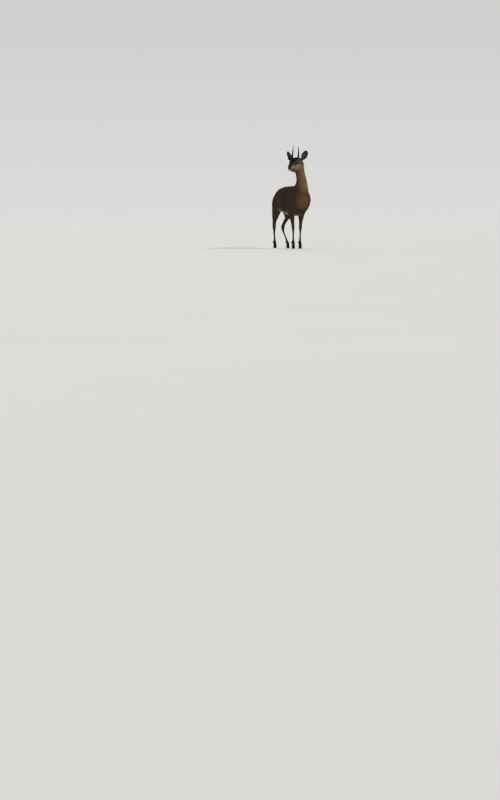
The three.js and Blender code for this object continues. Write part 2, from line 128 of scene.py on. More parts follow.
class Paint:
    # one material; shader holds what is the same all over its surface
    def __init__(self, name, **shader):
        self.material = bpy.data.materials.new(name)
        self.material.use_nodes = True
        self.tree = self.material.node_tree
        self.shader = self.tree.nodes["Principled BSDF"]
        for socket, value in shader.items():
            self.shader.inputs[socket.replace("_", " ")].default_value = value

    def node(self, kind, settings=None, sockets=None, output=0):
        made = self.tree.nodes.new(kind)
        for setting, value in (settings or {}).items():
            if setting == "stops":
                self.setStops(made.color_ramp, value)
            else:
                setattr(made, setting, value)
        for socket, value in (sockets or {}).items():
            if isinstance(value, Wire):
                self.tree.links.new(value.socket, made.inputs[socket])
            else:
                made.inputs[socket].default_value = value
        return Wire(self, made.outputs[output])

    def setStops(self, ramp, stops):
        while len(ramp.elements) < len(stops):
            ramp.elements.new(0.5)
        for element, (place, value) in zip(ramp.elements, stops):
            element.position = place
            element.color = (value, value, value, 1)

    def mark(self, name):  # a number painted on the mesh
        return self.node("ShaderNodeAttribute", {"attribute_name": name}, output="Fac")

    def place(self, stretch=(1, 1, 1)):
        spot = self.node("ShaderNodeTexCoord", output="Object")
        return self.node("ShaderNodeMapping", None, {"Vector": spot, "Scale": stretch})

    def noise(self, scale, detail=3.0, stretch=(1, 1, 1)):
        sockets = {"Vector": self.place(stretch), "Scale": scale, "Detail": detail}
        return self.node("ShaderNodeTexNoise", None, sockets)

    def ramp(self, value, *stops):
        return self.node("ShaderNodeValToRGB", {"stops": stops}, {"Fac": value})

    def mix(self, share, first, second):
        first, second = [c if isinstance(c, Wire) else (*c, 1) for c in (first, second)]
        return self.node("ShaderNodeMix", {"data_type": "RGBA"}, {0: share, 6: first, 7: second}, 2)

    def clamp(self, value):
        return self.node("ShaderNodeClamp", None, {"Value": value})

    def finish(self, colour=None, roughness=None, bump=None, depth=0.4 * mm, strength=1.0):
        links = {"Base Color": colour, "Roughness": roughness}
        if bump is not None:
            sockets = {"Height": bump, "Distance": depth, "Strength": strength}
            links["Normal"] = self.node("ShaderNodeBump", None, sockets)
        for socket, value in links.items():
            if value is not None:
                self.tree.links.new(value.socket, self.shader.inputs[socket])
        return self.material


# Objects and meshes
def placed(name, data):
    made = bpy.data.objects.new(name, data)
    bpy.context.scene.collection.objects.link(made)
    return made


def newPiece(name, mesh, material, replaced=()):
    piece = placed(name, mesh)
    piece.data.materials.clear()
    piece.data.materials.append(material)
    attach(piece, "root")
    if replaced:
        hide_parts(*replaced)
    return piece


def meshFrom(shape, name, smooth=True):  # a finished mesh out of a bmesh
    mesh = bpy.data.meshes.new(name)
    shape.to_mesh(mesh)
    shape.free()
    mesh.polygons.foreach_set("use_smooth", np.full(len(mesh.polygons), smooth))
    return mesh


def closedMesh(shape, name):  # the same for a closed form, its faces turned outward
    bmesh.ops.recalc_face_normals(shape, faces=shape.faces)
    return meshFrom(shape, name)


def evaluatedMesh(holder):  # what an object's modifiers or bevel make of it; the object goes
    mesh = bpy.data.meshes.new_from_object(holder.evaluated_get(bpy.context.evaluated_depsgraph_get()))
    bpy.data.objects.remove(holder)
    return mesh


def spun(profile, turns):  # a form turned about Z, from pairs of radius and height in mm
    shape = bmesh.new()
    line = [shape.verts.new((radius * mm, 0, up * mm)) for radius, up in profile]
    edges = [shape.edges.new(pair) for pair in zip(line, line[1:])]
    bmesh.ops.spin(
        shape, geom=line + edges, cent=(0, 0, 0), axis=(0, 0, 1), angle=2 * math.pi,
        steps=turns, use_merge=True, use_duplicate=False,
    )
    bmesh.ops.remove_doubles(shape, verts=shape.verts, dist=0.01 * mm)
    return shape


def readOut(items, name, width=1, kind=np.float32):
    found = np.empty(len(items) * width, kind)
    items.foreach_get(name, found)
    found = found.reshape(-1, width)
    return found.astype(float) if kind is np.float32 else found


def pointsOf(mesh):
    return readOut(mesh.vertices, "co", 3)


def normalsOf(mesh):
    return readOut(mesh.vertex_normals, "vector", 3)


def movePoints(mesh, points):
    mesh.vertices.foreach_set("co", np.asarray(points, np.float32).ravel())
    mesh.update()


def write(mesh, name, values):
    layer = mesh.attributes.new(name, "FLOAT", "POINT")
    layer.data.foreach_set("value", np.asarray(values, np.float32))


def unit(vectors):
    return vectors / np.maximum(np.linalg.norm(vectors, axis=-1, keepdims=True), 1e-9)


def fade(value, start, end):  # 0 at start and 1 at end, with soft shoulders
    share = np.clip((value - start) / (end - start), 0, 1)
    return share * share * (3 - 2 * share)


def near(points, spot, reach):  # 1 at the spot, down to 0 at its reach along each axis
    return fade(np.linalg.norm((points - spot) / np.asarray(reach, float), axis=1), 1, 0)


def onSide(spot, side):  # a head place or direction written for the left, on the side that is asked for
    return np.array(spot) * (1, side, 1)


def bodySpot(spot, side):
    return atBody(spot[0] * side, spot[1], spot[2])


def evened(values, edges, rounds, weight=1.0, pull=0.6):  # each value drawn to its neighbours' mean
    count = len(values)
    flat = values.reshape(count, -1).astype(float)
    ends = np.concatenate([edges[:, 0], edges[:, 1]])
    others = np.concatenate([edges[:, 1], edges[:, 0]])
    degree = np.maximum(np.bincount(ends, minlength=count), 1)[:, None]
    share = np.broadcast_to(np.asarray(weight, float), (count,))[:, None] * pull
    for _ in range(rounds):
        total = np.stack(
            [np.bincount(ends, weights=flat[others, k], minlength=count) for k in range(flat.shape[1])], 1
        )
        flat = flat + share * (total / degree - flat)
    return flat.reshape(values.shape)


# The skin: one surface over every piece of flesh
skinPlan = {
    "voxel": 3.5 * mm,
    "overlap": 0.5 * mm,  # each solid swells by this, so that the thin gaps close
    "evenings": 3,
    "headFrom": -84,  # along the head, where its finer mesh starts
    "headDrop": 120 * mm,  # and how far below the ears it reaches
    "fineSpots": {  # where the mesh is finest: head place and reach
        "eye": ((3, 37, 1), (23, 16, 18)),
        "gland": ((29, 31, -4), (9, 9, 8)),
        "muzzle": ((96, 0, -18), (21, 20, 22)),
        "mouth": ((64, 18, -31), (22, 13, 6)),
    },
}
fleshNodes = ["torso", "neck", "head", "tail"]
fleshNodes += [f"leg_{foot}_{part}" for foot in feet for part in ("upper", "lower")]
filledNodes = ["nose_pad", "eye_left", "eye_right"]


def solidCopy(node, swell):
    shape = bmesh.new()
    shape.from_mesh(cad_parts[node].data)
    bmesh.ops.remove_doubles(shape, verts=shape.verts, dist=0.02 * mm)
    shape.normal_update()
    for vert in shape.verts:
        vert.co += vert.normal * swell
    return shape


def fusedFlesh():
    gathered = bpy.data.meshes.new("gathered")
    whole = bmesh.new()
    for node in fleshNodes + filledNodes:
        copied = solidCopy(node, skinPlan["overlap"])
        part = bpy.data.meshes.new(node + "_copy")
        copied.to_mesh(part)
        copied.free()
        whole.from_mesh(part)
    whole.to_mesh(gathered)
    whole.free()
    holder = placed("gathered", gathered)
    remesh = holder.modifiers.new("fuse", "REMESH")
    remesh.mode = "VOXEL"
    remesh.voxel_size = skinPlan["voxel"]
    remesh.adaptivity = 0
    return evaluatedMesh(holder)


def finer(shape, chosen):  # splits every edge of the chosen faces once
    faces = [face for face in shape.faces if chosen(face.calc_center_median())]
    edges = list({edge for face in faces for edge in face.edges})
    bmesh.ops.subdivide_edges(shape, edges=edges, cuts=1, use_grid_fill=True)


def inFineSpot(spot):
    place = inHead(spot)
    for middle, reach in skinPlan["fineSpots"].values():
        for side in sides.values():
            gap = (place - onSide(middle, side)) / reach
            if gap @ gap < 1:
                return True
    return False


def skinSurface():
    fused = fusedFlesh()
    edges = readOut(fused.edges, "vertices", 2, np.int32)
    movePoints(fused, evened(pointsOf(fused), edges, skinPlan["evenings"]))
    shape = bmesh.new()
    shape.from_mesh(fused)
    headLow = atHead(-30, 0, 0)[2] - skinPlan["headDrop"]
    finer(shape, lambda spot: spot.z > headLow and inHead(spot)[0] > skinPlan["headFrom"])
    finer(shape, lambda spot: spot.z > headLow and inFineSpot(spot))
    return meshFrom(shape, "skin")


skinMesh = skinSurface()
print("stage: skin fused,", len(skinMesh.polygons), "faces")

# Which solid each point of the skin belongs to
nodePoints, nodeOfPoint = [], []
for number, node in enumerate(fleshNodes):
    found = pointsOf(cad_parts[node].data)
    nodePoints.append(found)
    nodeOfPoint += [number] * len(found)
nodeTree = KDTree(len(nodeOfPoint))
for number, point in enumerate(np.concatenate(nodePoints)):
    nodeTree.insert(point, number)
nodeTree.balance()
skinEdges = readOut(skinMesh.edges, "vertices", 2, np.int32)
skinPoints = pointsOf(skinMesh)
skinNode = np.array([nodeOfPoint[nodeTree.find(point)[1]] for point in skinPoints])
print("stage: skin named by solid")

# Form: where the skin rises or sinks, as muscle and bone shape it
# Each entry is a place on the body or the head, its reach and its rise, in mm, drawn for the left side
bodyForms = {
    "shoulderPoint": ((70, 44, 372), (30, 26, 34), 5),
    "neckToShoulder": ((62, 58, 452), (22, 20, 60), -4),
    "bladeEdge": ((80, 108, 470), (24, 22, 60), 4),
    "behindBlade": ((98, 152, 452), (30, 22, 66), -4),
    "upperArm": ((104, 128, 362), (40, 36, 44), 6),
    "elbow": ((92, 172, 318), (26, 18, 24), 4),
    "behindArm": ((104, 200, 372), (34, 20, 62), -6),
    "ribs": ((112, 262, 400), (50, 70, 70), 3),
    "flankHollow": ((100, 350, 430), (40, 36, 48), -8),
    "flankFold": ((84, 372, 340), (40, 14, 46), 4),
    "hipBone": ((56, 370, 512), (20, 24, 18), 4),
    "hipHollow": ((74, 408, 496), (26, 26, 26), -3),
    "thigh": ((92, 436, 400), (40, 50, 66), 6),
    "hamGroove": ((82, 476, 372), (30, 13, 76), -5),
    "ham": ((52, 496, 380), (34, 26, 66), 4),
    "stifle": ((80, 392, 340), (34, 24, 28), 4),
    "neckGroove": ((38, 20, 500), (20, 22, 60), -3),
    "neckMuscle": ((40, 52, 560), (20, 26, 90), 2.5),
    "brisket": ((0, 30, 352), (30, 44, 44), 5),
    "brisketSide": ((36, 36, 338), (16, 40, 40), -3),
    "backHollow": ((0, 250, 536), (40, 80, 20), -1.5),
    "besideSpine": ((26, 300, 530), (14, 120, 16), 1.5),
    "tailRoot": ((0, 500, 470), (26, 26, 30), 2),
}
headForms = {
    "browRidge": ((-2, 31, 20), (22, 12, 9), 2.2),
    "underEye": ((6, 36, -20), (30, 12, 6), 1.6),
    "cheekBone": ((-24, 39, -14), (26, 10, 8), 2.0),
    "cheekMuscle": ((-26, 37, -46), (26, 12, 26), 2.4),
    "cheekHollow": ((20, 34, -38), (28, 14, 14), -3.0),
    "jawSide": ((16, 26, -62), (40, 12, 12), -2.0),
    "jawEdge": ((0, 22, -80), (34, 12, 10), 1.5),
    "noseSide": ((52, 24, 0), (30, 9, 12), -2.4),
    "noseBridge": ((44, 0, 24), (44, 8, 10), 1.2),
    "bridgeEdge": ((40, 16, 20), (34, 6, 9), 1.2),
    "forehead": ((4, 0, 38), (30, 15, 14), -1.8),
    "templeHollow": ((-34, 36, 20), (12, 9, 10), -2.2),
    "hornRoot": ((-24, 31, 34), (17, 15, 15), 2.6),
    "glandCushion": ((30, 31, -4), (14, 9, 9), 1.8),
    "nostrilWing": ((90, 12, -9), (9, 7, 8), 1.6),
    "behindWing": ((78, 15, -6), (10, 7, 9), -1.2),
    "upperLip": ((84, 13, -21), (16, 8, 6), 1.2),
    "chin": ((84, 0, -37), (13, 14, 8), 1.6),
    "underLip": ((72, 14, -37), (16, 8, 6), -1.0),
    "underJaw": ((30, 0, -70), (46, 9, 10), -2.5),
}


# On the legs: height, distance outward and back from the leg's middle there, reach and rise
legForms = {
    "fore": {
        "knee": (192, 0, -14, (13, 9, 15), 2.2),
        "kneeSides": (186, 13, 0, (6, 11, 14), 1.4),
        "underKnee": (160, 0, -11, (12, 7, 12), -1.4),
        "behindKnee": (196, 0, 15, (10, 7, 10), 1.6),
        "forearm": (262, 20, 2, (14, 22, 40), 3.0),
        "forearmGroove": (246, 16, 14, (10, 5, 34), -2.0),
    },
    "hind": {
        "hockPoint": (200, 0, 20, (9, 9, 13), 2.4),
        "hockFront": (176, 0, -18, (11, 8, 13), 1.4),
        "hockSides": (182, 13, 0, (6, 13, 12), 1.4),
        "hamstringHollow": (228, 12, 9, (9, 8, 26), -3.0),
        "gaskin": (262, 20, -12, (14, 22, 34), 3.0),
    },
    "each": {
        "shin": (112, 0, -8, (6, 6, 42), 1.0),
        "shinGroove": (112, 9, 2, (5, 4, 42), -1.6),
        "sinew": (112, 0, 10, (6, 5, 42), 1.2),
        "fetlock": (60, 0, 12, (11, 8, 9), 1.8),
        "fetlockSides": (62, 11, 0, (5, 9, 9), 1.0),
    },
}


def legMiddle(foot, height):
    slab = 6  # skin within this many mm of the height is taken
    nodes = [number for number, node in enumerate(fleshNodes) if foot in node]
    chosen = np.isin(skinNode, nodes) & (np.abs(skinPoints[:, 2] / mm - height) < slab)
    return skinPoints[chosen].mean(0)


def formed(points, normals):
    rise = np.zeros(len(points))
    headPlaces = inHead(points)

    def lift(places, middle, reach, height, aside):  # what lies on the middle plane is drawn twice
        return near(places, middle, reach) * height * (0.5 if aside == 0 else 1)

    for spot, reach, height in bodyForms.values():
        for side in sides.values():
            rise += lift(points, bodySpot(spot, side), np.array(reach) * mm, height, spot[0])
    for spot, reach, height in headForms.values():
        for side in sides.values():
            rise += lift(headPlaces, onSide(spot, side), reach, height, spot[1])
    for foot in feet:
        for up, outward, back, reach, height in [*legForms[foot[:4]].values(), *legForms["each"].values()]:
            for side in sides.values():
                middle = legMiddle(foot, up) + np.array([outward * side, back, 0]) * mm
                rise += lift(points, middle, np.array(reach) * mm, height, outward)
    return points + normals * (rise * mm)[:, None]


# Joins between solids that the skin smooths away: body or head place and reach in mm
softSpots = {
    "shoulderTop": ((78, 110, 470), (60, 80, 70)),
    "shoulderFront": ((70, 40, 400), (60, 50, 70)),
    "neckRoot": ((0, 40, 510), (90, 90, 60)),
    "withers": ((0, 150, 545), (60, 60, 40)),
    "hipTop": ((70, 410, 480), (60, 80, 50)),
    "belly": ((30, 330, 305), (70, 90, 30)),
    "armpit": ((30, 150, 285), (40, 70, 40)),
    "groin": ((30, 440, 310), (50, 70, 50)),
    "rump": ((30, 480, 440), (60, 40, 60)),
}
headSoftSpots = {
    "orbitEdge": ((0, 34, 2), (32, 20, 27)),
    "brow": ((-14, 28, 24), (34, 20, 20)),
    "earBase": ((-52, 36, 12), (30, 22, 26)),
    "lipPad": ((72, 12, -19), (32, 18, 20)),
    "chinEdge": ((70, 0, -42), (26, 20, 14)),
    "throat": ((-52, 0, -78), (56, 62, 58)),
    "nape": ((-70, 0, 10), (40, 60, 60)),
}
softElsewhere = 0.1


def softness(points):
    share = np.full(len(points), softElsewhere)
    headPlaces = inHead(points)
    for side in sides.values():
        for spot, reach in softSpots.values():
            share = np.maximum(share, near(points, bodySpot(spot, side), np.array(reach) * mm))
        for spot, reach in headSoftSpots.values():
            share = np.maximum(share, near(headPlaces, onSide(spot, side), reach))
    return share


# How deep the coat lies over the skin, and the size and spacing of its tufts, in mm
coatPlan = {
    "body": {"depth": 3.4, "length": 15.0, "width": 2.2, "spacing": 2.35},
    "leg": {"depth": 1.0, "length": 6.5, "width": 1.15, "spacing": 1.6},
    "face": {"depth": 0.9, "length": 4.6, "width": 0.85, "spacing": 1.2},
}
# Where one kind of hair passes into the next: from where the second begins to where it is alone
coatEnds = {
    "leg": (350, 200),  # heights
    "face": (185, 62),  # distances from a line along the head
    "faceLine": (-20, 95),  # where that line starts and ends
    "faceDrop": (-28, -0.05),  # how low it lies, and its slope
    "muzzle": (20, 85),  # along the head, where the hair grows shorter
    "shorter": 0.4,
    "tail": ((22 * mm, 36 * mm, 50 * mm), 24 * mm, 9),  # reach, how far down, and how much longer
}
partOfNode = [node if "_" not in node else node.split("_")[-1] for node in fleshNodes]


def faceShare(points):  # 1 on the face and head, easing to 0 some way down the neck
    places = inHead(points)
    along = np.clip(places[:, 0], *coatEnds["faceLine"])
    low, slope = coatEnds["faceDrop"]
    axis = np.stack([along, 0 * along, low + slope * along], 1)
    return fade(np.linalg.norm(places - axis, axis=1), *coatEnds["face"])


def coatField(key, points):
    face, leg = faceShare(points), fade(points[:, 2] / mm, *coatEnds["leg"])
    field = coatPlan["body"][key] * (1 - leg) + coatPlan["leg"][key] * leg
    field = field * (1 - face) + coatPlan["face"][key] * face
    if key == "length":  # shorter towards the nose, and longest at the tail's end
        muzzle = fade(inHead(points)[:, 0], *coatEnds["muzzle"])
        field = field * (1 - coatEnds["shorter"] * muzzle * face)
        reach, down, longer = coatEnds["tail"]
        tail = np.array(middleOf("tail")) - np.array([0, 0, down])
        field = field + longer * near(points, tail, reach)
    return field


settlePlan = {
    "rounds": 36,
    "overHooves": (56, 40),  # heights between which the skin comes out again
    "out": 1.1,  # by how many depths of the coat
    "closing": (46 * mm, 34 * mm),  # heights between which it is drawn down
    "down": 3.5,
}
skinPoints = evened(skinPoints, skinEdges, settlePlan["rounds"], softness(skinPoints))
movePoints(skinMesh, skinPoints)
skinPoints = formed(skinPoints, normalsOf(skinMesh))
movePoints(skinMesh, skinPoints)
# The skin sinks by the coat's depth. Over the hooves it stays out and is drawn down, to close over them
coatDepth = coatField("depth", skinPoints) * mm + skinPlan["overlap"]
coatDepth *= 1 - settlePlan["out"] * fade(skinPoints[:, 2] / mm, *settlePlan["overHooves"])
skinPoints = skinPoints - normalsOf(skinMesh) * coatDepth[:, None]
skinPoints[:, 2] -= fade(skinPoints[:, 2], *settlePlan["closing"]) * settlePlan["down"] * mm
movePoints(skinMesh, skinPoints)
print("stage: skin formed")

# Eyes: the opening between the lids is an oval of angles on the ball, from its gaze
lidPlan = {
    "halfWide": math.radians(62),
    "halfHigh": math.radians(39),
    "droop": math.radians(10),  # how far the front corner lies below the back one
    "middle": math.radians(-1),
    "gaze": (0.34, 0.93, 0.06),  # nose, side and crown shares of where the eye looks
    "narrower": (0.22, 0.25),  # towards both corners, and more towards the front one
    "gap": 0.1,  # between the ball and the lid, in mm
    "lidThick": 1.1,
    "blend": 0.8,  # how far the lid shape reaches past its edge, in radians
    "fold": (-0.9, 0.25, 0.06),  # groove over the upper lid: rise in mm, place and half width in radians
    "bag": (-0.5, 0.3, 0.07),  # the same under the lower lid
    "sunk": (0.78, -0.16),  # share of the ball's radius that the skin keeps behind it, and from where
    "closeBy": 1.5,  # what counts as beside the eye, in radii of the ball
    "fadesAt": 2.4,
}


def eyeAxes(side):
    gaze = unit(onSide(lidPlan["gaze"], side)) @ headAxes
    toNose = unit(noseWay - gaze * (noseWay @ gaze))
    return toNose, unit(np.cross(toNose, gaze)) * side, gaze


def eyeMiddle(name):
    return np.array(middleOf(f"eye_{name}"))


def lidMiddle(share):
    return lidPlan["middle"] - lidPlan["droop"] * share


def lidHalf(share):  # the front corner is drawn out to a point
    share = np.clip(share, -1, 1)
    both, front = lidPlan["narrower"]
    return lidPlan["halfHigh"] * (1 - both * share**2 - front * np.maximum(share, 0) ** 2)


def lidGap(across, up):  # angle from the edge of the opening: below 0 inside it
    share = across / lidPlan["halfWide"]
    height = (up - lidMiddle(share)) / lidHalf(share)
    return (np.hypot(share, height) - 1) * lidPlan["halfHigh"]


def byEye(points, name, side):  # way and distance from the ball's middle, height and gap as angles
    toNose, toBrow, gaze = eyeAxes(side)
    away = points - eyeMiddle(name)
    across = np.arctan2(away @ toNose, away @ gaze)
    up = np.arctan2(away @ toBrow, np.hypot(away @ gaze, away @ toNose))
    return away, np.linalg.norm(away, axis=1), up, lidGap(across, up)


def lidReach(points):  # how far places by the eyes lie outside the opening, as an angle on the ball
    reach = np.full(len(points), math.pi)
    for name, side in sides.items():
        _, distance, _, gap = byEye(points, name, side)
        reach = np.where(distance < lidPlan["closeBy"] * eyeRadius, gap, reach)
    return reach


def crease(gap, form):
    rise, place, half = form
    return rise * mm * np.exp(-(((gap - place) / half) ** 2))


def shapeLids(points):
    points, plan = points.copy(), lidPlan
    kept, sunkFrom = plan["sunk"]
    for name, side in sides.items():
        away, distance, up, gap = byEye(points, name, side)
        ahead = away @ eyeAxes(side)[2]
        reach = fade(distance, plan["fadesAt"] * eyeRadius, plan["closeBy"] * eyeRadius)
        reach = reach * fade(ahead, -0.3 * eyeRadius, 0)
        rim = eyeRadius + mm * (plan["gap"] + plan["lidThick"] * fade(gap, 0.0, 0.1))
        behind = eyeRadius * fade(gap, sunkFrom, 0.0) * (1 - kept) + eyeRadius * kept
        lid = np.where(gap < 0, behind, rim)
        change = (lid - distance) * fade(gap, plan["blend"], 0.12)
        change = change + crease(gap, plan["fold"]) * (up > lidMiddle(0))
        change = change + crease(gap, plan["bag"]) * (up < lidMiddle(0))
        points += away / np.maximum(distance, 1e-9)[:, None] * (change * reach)[:, None]
    return points


# The scent gland in front of each eye is a dark slit in a low cushion
glandPlan = {"spot": (30, 31, -5), "reach": (7, 8, 2.6), "deep": 3.2, "slant": 0.35}
# The mouth runs back from under the nose: distance along the head and height
mouthLine = [(104, -24), (96, -26.4), (86, -28), (76, -29.4), (64, -31), (54, -32.4), (47, -33.5)]
mouthPlan = {"half": 1.1, "deep": 1.5, "ends": (45, 52), "lipAway": 3.0, "lipHalf": 1.6, "lipRise": 0.6}


def mouthHeight(along):
    spots = np.array(mouthLine[::-1], float)
    return np.interp(along, spots[:, 0], spots[:, 1])


def mouthShare(places):
    gap = np.abs(places[:, 2] - mouthHeight(places[:, 0])) / mouthPlan["half"]
    return fade(gap, 1.3, 0.2) * fade(places[:, 0], *mouthPlan["ends"]) * (np.abs(places[:, 1]) > 0.1)


# Nose pad and nostrils: the pad's half width at heights on the head, and a comma-shaped pit each side
nosePlan = {
    "outline": [(-25, 3.5), (-21, 5.5), (-16, 10.5), (-11, 13.2), (-6, 12.8), (-1.5, 9.5), (2, 4)],
    "from": 85.0,
    "lift": 0.5,
    "nostril": (98.5, 8.6, -12.2),
    "nostrilReach": (12, 3.7, 2.5),
    "nostrilDeep": 5.0,
    "nostrilSlant": 0.28,
    "grooveDeep": 0.9,  # the groove down the middle, under the nostrils
    "rimEvenings": 8,
    "wing": 0.5,  # rise round the nostrils
    "thick": 1.2 * mm,
}


def noseGap(places):  # below 1 on the pad
    spots = np.array(nosePlan["outline"], float)
    half = np.interp(places[:, 2], spots[:, 0], spots[:, 1], left=0.01, right=0.01)
    gap = np.abs(places[:, 1]) / half
    return np.where(places[:, 0] < nosePlan["from"] + 0.2 * np.abs(places[:, 1]), 9.0, gap)


def nostrilShare(places):
    away = np.stack([places[:, 0], np.abs(places[:, 1]), places[:, 2]], 1) - nosePlan["nostril"]
    away[:, 2] -= nosePlan["nostrilSlant"] * away[:, 1]
    return fade(np.linalg.norm(away / nosePlan["nostrilReach"], axis=1), 1.15, 0.35)


def carve(points, normals):
    places = inHead(points)
    depth = nostrilShare(places) * nosePlan["nostrilDeep"]
    groove = fade(np.abs(places[:, 1]), 1.6, 0.3) * fade(places[:, 0], 88, 94)
    depth += groove * fade(places[:, 2], -10, -15) * nosePlan["grooveDeep"] * (places[:, 2] > -27)
    for side in sides.values():
        spot = onSide(glandPlan["spot"], side)
        slanted = places + np.outer((places[:, 0] - spot[0]) * glandPlan["slant"], (0, 0, 1))
        depth += near(slanted, spot, glandPlan["reach"]) * glandPlan["deep"]
    depth += mouthShare(places) * mouthPlan["deep"]
    gap = np.abs(places[:, 2] - mouthHeight(places[:, 0]))
    lips = np.exp(-(((gap - mouthPlan["lipAway"]) / mouthPlan["lipHalf"]) ** 2))
    depth -= lips * fade(places[:, 0], 48, 60) * mouthPlan["lipRise"]
    return points - normals * (depth * mm)[:, None]


skinPoints = shapeLids(skinPoints)
movePoints(skinMesh, skinPoints)
skinPoints = carve(skinPoints, normalsOf(skinMesh))
movePoints(skinMesh, skinPoints)
skinNormals = normalsOf(skinMesh)
print("stage: head carved")


# Markings, and painted shade on the back, behind the shoulder, over the rump and at the ears' roots, the
# same for the skin and the coat over it. Each entry is a mark, its place and reach in mm, how hard its
# edge is and how strong it may grow
headMarksAndShade = {
    "gland": ("dark", (30, 31, -5), (13, 12, 8), 2.2, 1.0),
    "eyeCorner": ("dark", (19, 35, -1), (11, 9, 4.5), 1.6, 0.7),
    "roundEye": ("dark", (3, 36, 1), (17, 13, 13), 1.3, 0.5),
    # painted shade: darker where the ear meets the head
    "earRoot": ("dark", (-61, 44, 14), (18, 16, 16), 0.8, 0.4),
    "chin": ("pale", (88, 0, -36), (32, 26, 18), 1.6, 1.0),
    "throat": ("pale", (44, 0, -66), (72, 24, 24), 1.3, 0.8),
    "upperLip": ("pale", (66, 22, -18), (44, 20, 24), 1.4, 0.62),
    "cheek": ("pale", (26, 34, -30), (58, 22, 30), 1.4, 0.6),
    "underEar": ("pale", (-50, 48, -2), (22, 16, 22), 1.2, 0.6),
    "face": ("rust", (4, 34, -36), (66, 30, 46), 1.8, 0.9),
    "noseSide": ("rust", (46, 24, -12), (42, 18, 24), 1.4, 0.6),
    "jaw": ("rust", (44, 20, -50), (56, 34, 26), 1.4, 0.6),
    "behindJaw": ("rust", (-46, 30, -50), (54, 40, 56), 1.6, 0.85),
}
bodyMarksAndShade = {
    "neck": ("rust", (0, 0, 620), (120, 122, 240), 1.5, 0.72),
    "breast": ("rust", (0, 20, 405), (112, 76, 136), 1.4, 0.42),
    "ribs": ("rust", (96, 150, 380), (60, 110, 110), 1.0, 0.16),
    # painted shade: the back is darkened where the coat lies in shadow over the top of the body
    "back": ("dark", (0, 270, 560), (110, 340, 120), 1.5, 0.66),
    "nape": ("dark", (0, 110, 640), (40, 50, 150), 1.2, 0.45),
    # painted shade: darkened behind the shoulder, where shade falls over the ribs
    "shoulder": ("dark", (104, 150, 420), (52, 120, 130), 1.0, 0.32),
    # painted shade: the rump is darkened where it lies in shadow
    "rump": ("dark", (40, 500, 430), (90, 90, 110), 1.2, 0.4),
}
# Along the head: half width of the dark stripe down the forehead and nose, and how dark it is
stripePlan = {
    "wide": ([-90, -40, 0, 30, 60, 96], [40, 40, 27, 19, 12, 9]),
    "strong": ([-90, -60, 20, 70, 96], [0.5, 0.95, 0.95, 0.75, 0.7]),
}
# The other marks fade in and are full between two heights, two shares of the way the skin faces or
# two distances
markFades = {
    "onHead": (150, 110),  # from the head's middle
    "crownFacing": (0.05, 0.45),
    "crownHeight": (-8, 4),
    "lidEdge": (0.4, 0.12),  # an angle on the ball
    "eyeRing": (30, 17),  # from the eye
    "eyeRingAside": (22, 30),
    "eyeRingHeight": (3, 9),
    "underFacing": (0.35, 0.9),
    "underLow": (245, 270),
    "underHigh": (380, 330),
    "hindLegs": (350, 395),
    "hindLegsAside": (16, 40),
    "underFront": (60, 160),
    "inwardFacing": (0.3, 0.9),
    "inwardLow": (200, 270),
    "inwardHigh": (350, 300),
    "greyLegs": (330, 200),
    "darkPasterns": (84, 50),
}


def faded(value, name):
    return fade(value, *markFades[name])


def markingsAndShade(points, normals):
    x, y, z = inHead(points).T
    wide, height = np.abs(y), points[:, 2] / mm
    head = np.stack([x, wide, z], 1)
    onHead = faded(np.linalg.norm(head - np.array([0, 0, -20]), axis=1), "onHead")
    aside, back = np.abs(points[:, 0] - bodyMiddle) / mm, (points[:, 1] - breast) / mm
    body = np.stack([aside, back, height], 1)
    marks = {name: np.zeros(len(points)) for name in ("dark", "pale", "rust", "grey")}

    def raised(mark, share):
        marks[mark] = np.maximum(marks[mark], share)

    # the tables hold real markings and painted shade alike
    for table, places, shown in ((headMarksAndShade, head, onHead), (bodyMarksAndShade, body, 1.0)):
        for mark, spot, reach, strength, limit in table.values():
            found = np.minimum(near(places, np.array(spot), reach) * strength, 1)
            raised(mark, found * (shown * limit))
    stripe = np.interp(x, *stripePlan["wide"])
    crown = fade(wide, stripe + 7, stripe - 3) * faded(normals @ crownWay, "crownFacing")
    crown = crown * faded(z, "crownHeight")
    raised("dark", crown * np.interp(x, *stripePlan["strong"]) * onHead)
    raised("dark", faded(lidReach(points), "lidEdge") * 0.92)
    eyeRing = faded(np.hypot((x - 2) / 1.3, z - 1), "eyeRing") * faded(wide, "eyeRingAside")
    eyeRing = eyeRing * faded(np.abs(z - 1), "eyeRingHeight")
    raised("pale", eyeRing * onHead * np.where(z > 0, 0.24, 0.8))
    # Pale belly and groin, but not the backs of the hind legs; grey legs, dark pasterns and tail
    under = faded(-normals[:, 2], "underFacing") * faded(height, "underLow") * faded(height, "underHigh")
    under *= 1 - faded(back, "hindLegs") * faded(aside, "hindLegsAside")
    raised("pale", under * faded(back, "underFront") * 0.9)
    inward = faded(-normals[:, 0] * np.sign(points[:, 0] - bodyMiddle), "inwardFacing")
    raised("pale", inward * faded(height, "inwardLow") * faded(height, "inwardHigh") * 0.15)
    raised("grey", faded(height, "greyLegs") * 0.85)
    raised("dark", faded(height, "darkPasterns"))
    tailSpot = np.array(middleOf("tail")) - np.array([0, 0, 8 * mm])
    raised("dark", np.minimum(near(points, tailSpot, (13 * mm, 30 * mm, 52 * mm)) * 2, 0.5))
    return {name: np.clip(mark, 0, 1) for name, mark in marks.items()}


skinMarksAndShade = markingsAndShade(skinPoints, skinNormals)

# Lie of the coat: the way the hair points on each part, drawn out smoothly over the skin
lieOf = {
    "torso": (0, 1, -0.35),
    "neck": (0, 0.42, -1),
    "tail": (0, 0.2, -1),
    "upper": (0, 0.42, -1),
    "lower": (0, 0.1, -1),
}
# Where the torso's hair hangs instead: body place, reach and way
hangingAt = {
    "breast": ((0, 10, 400), (110, 120, 150), (0, 0.15, -1)),
    "rump": ((0, 490, 420), (130, 70, 130), (0, 0.3, -1)),
}
liePlan = {"headSpread": 0.35, "times": 4, "rounds": 12}


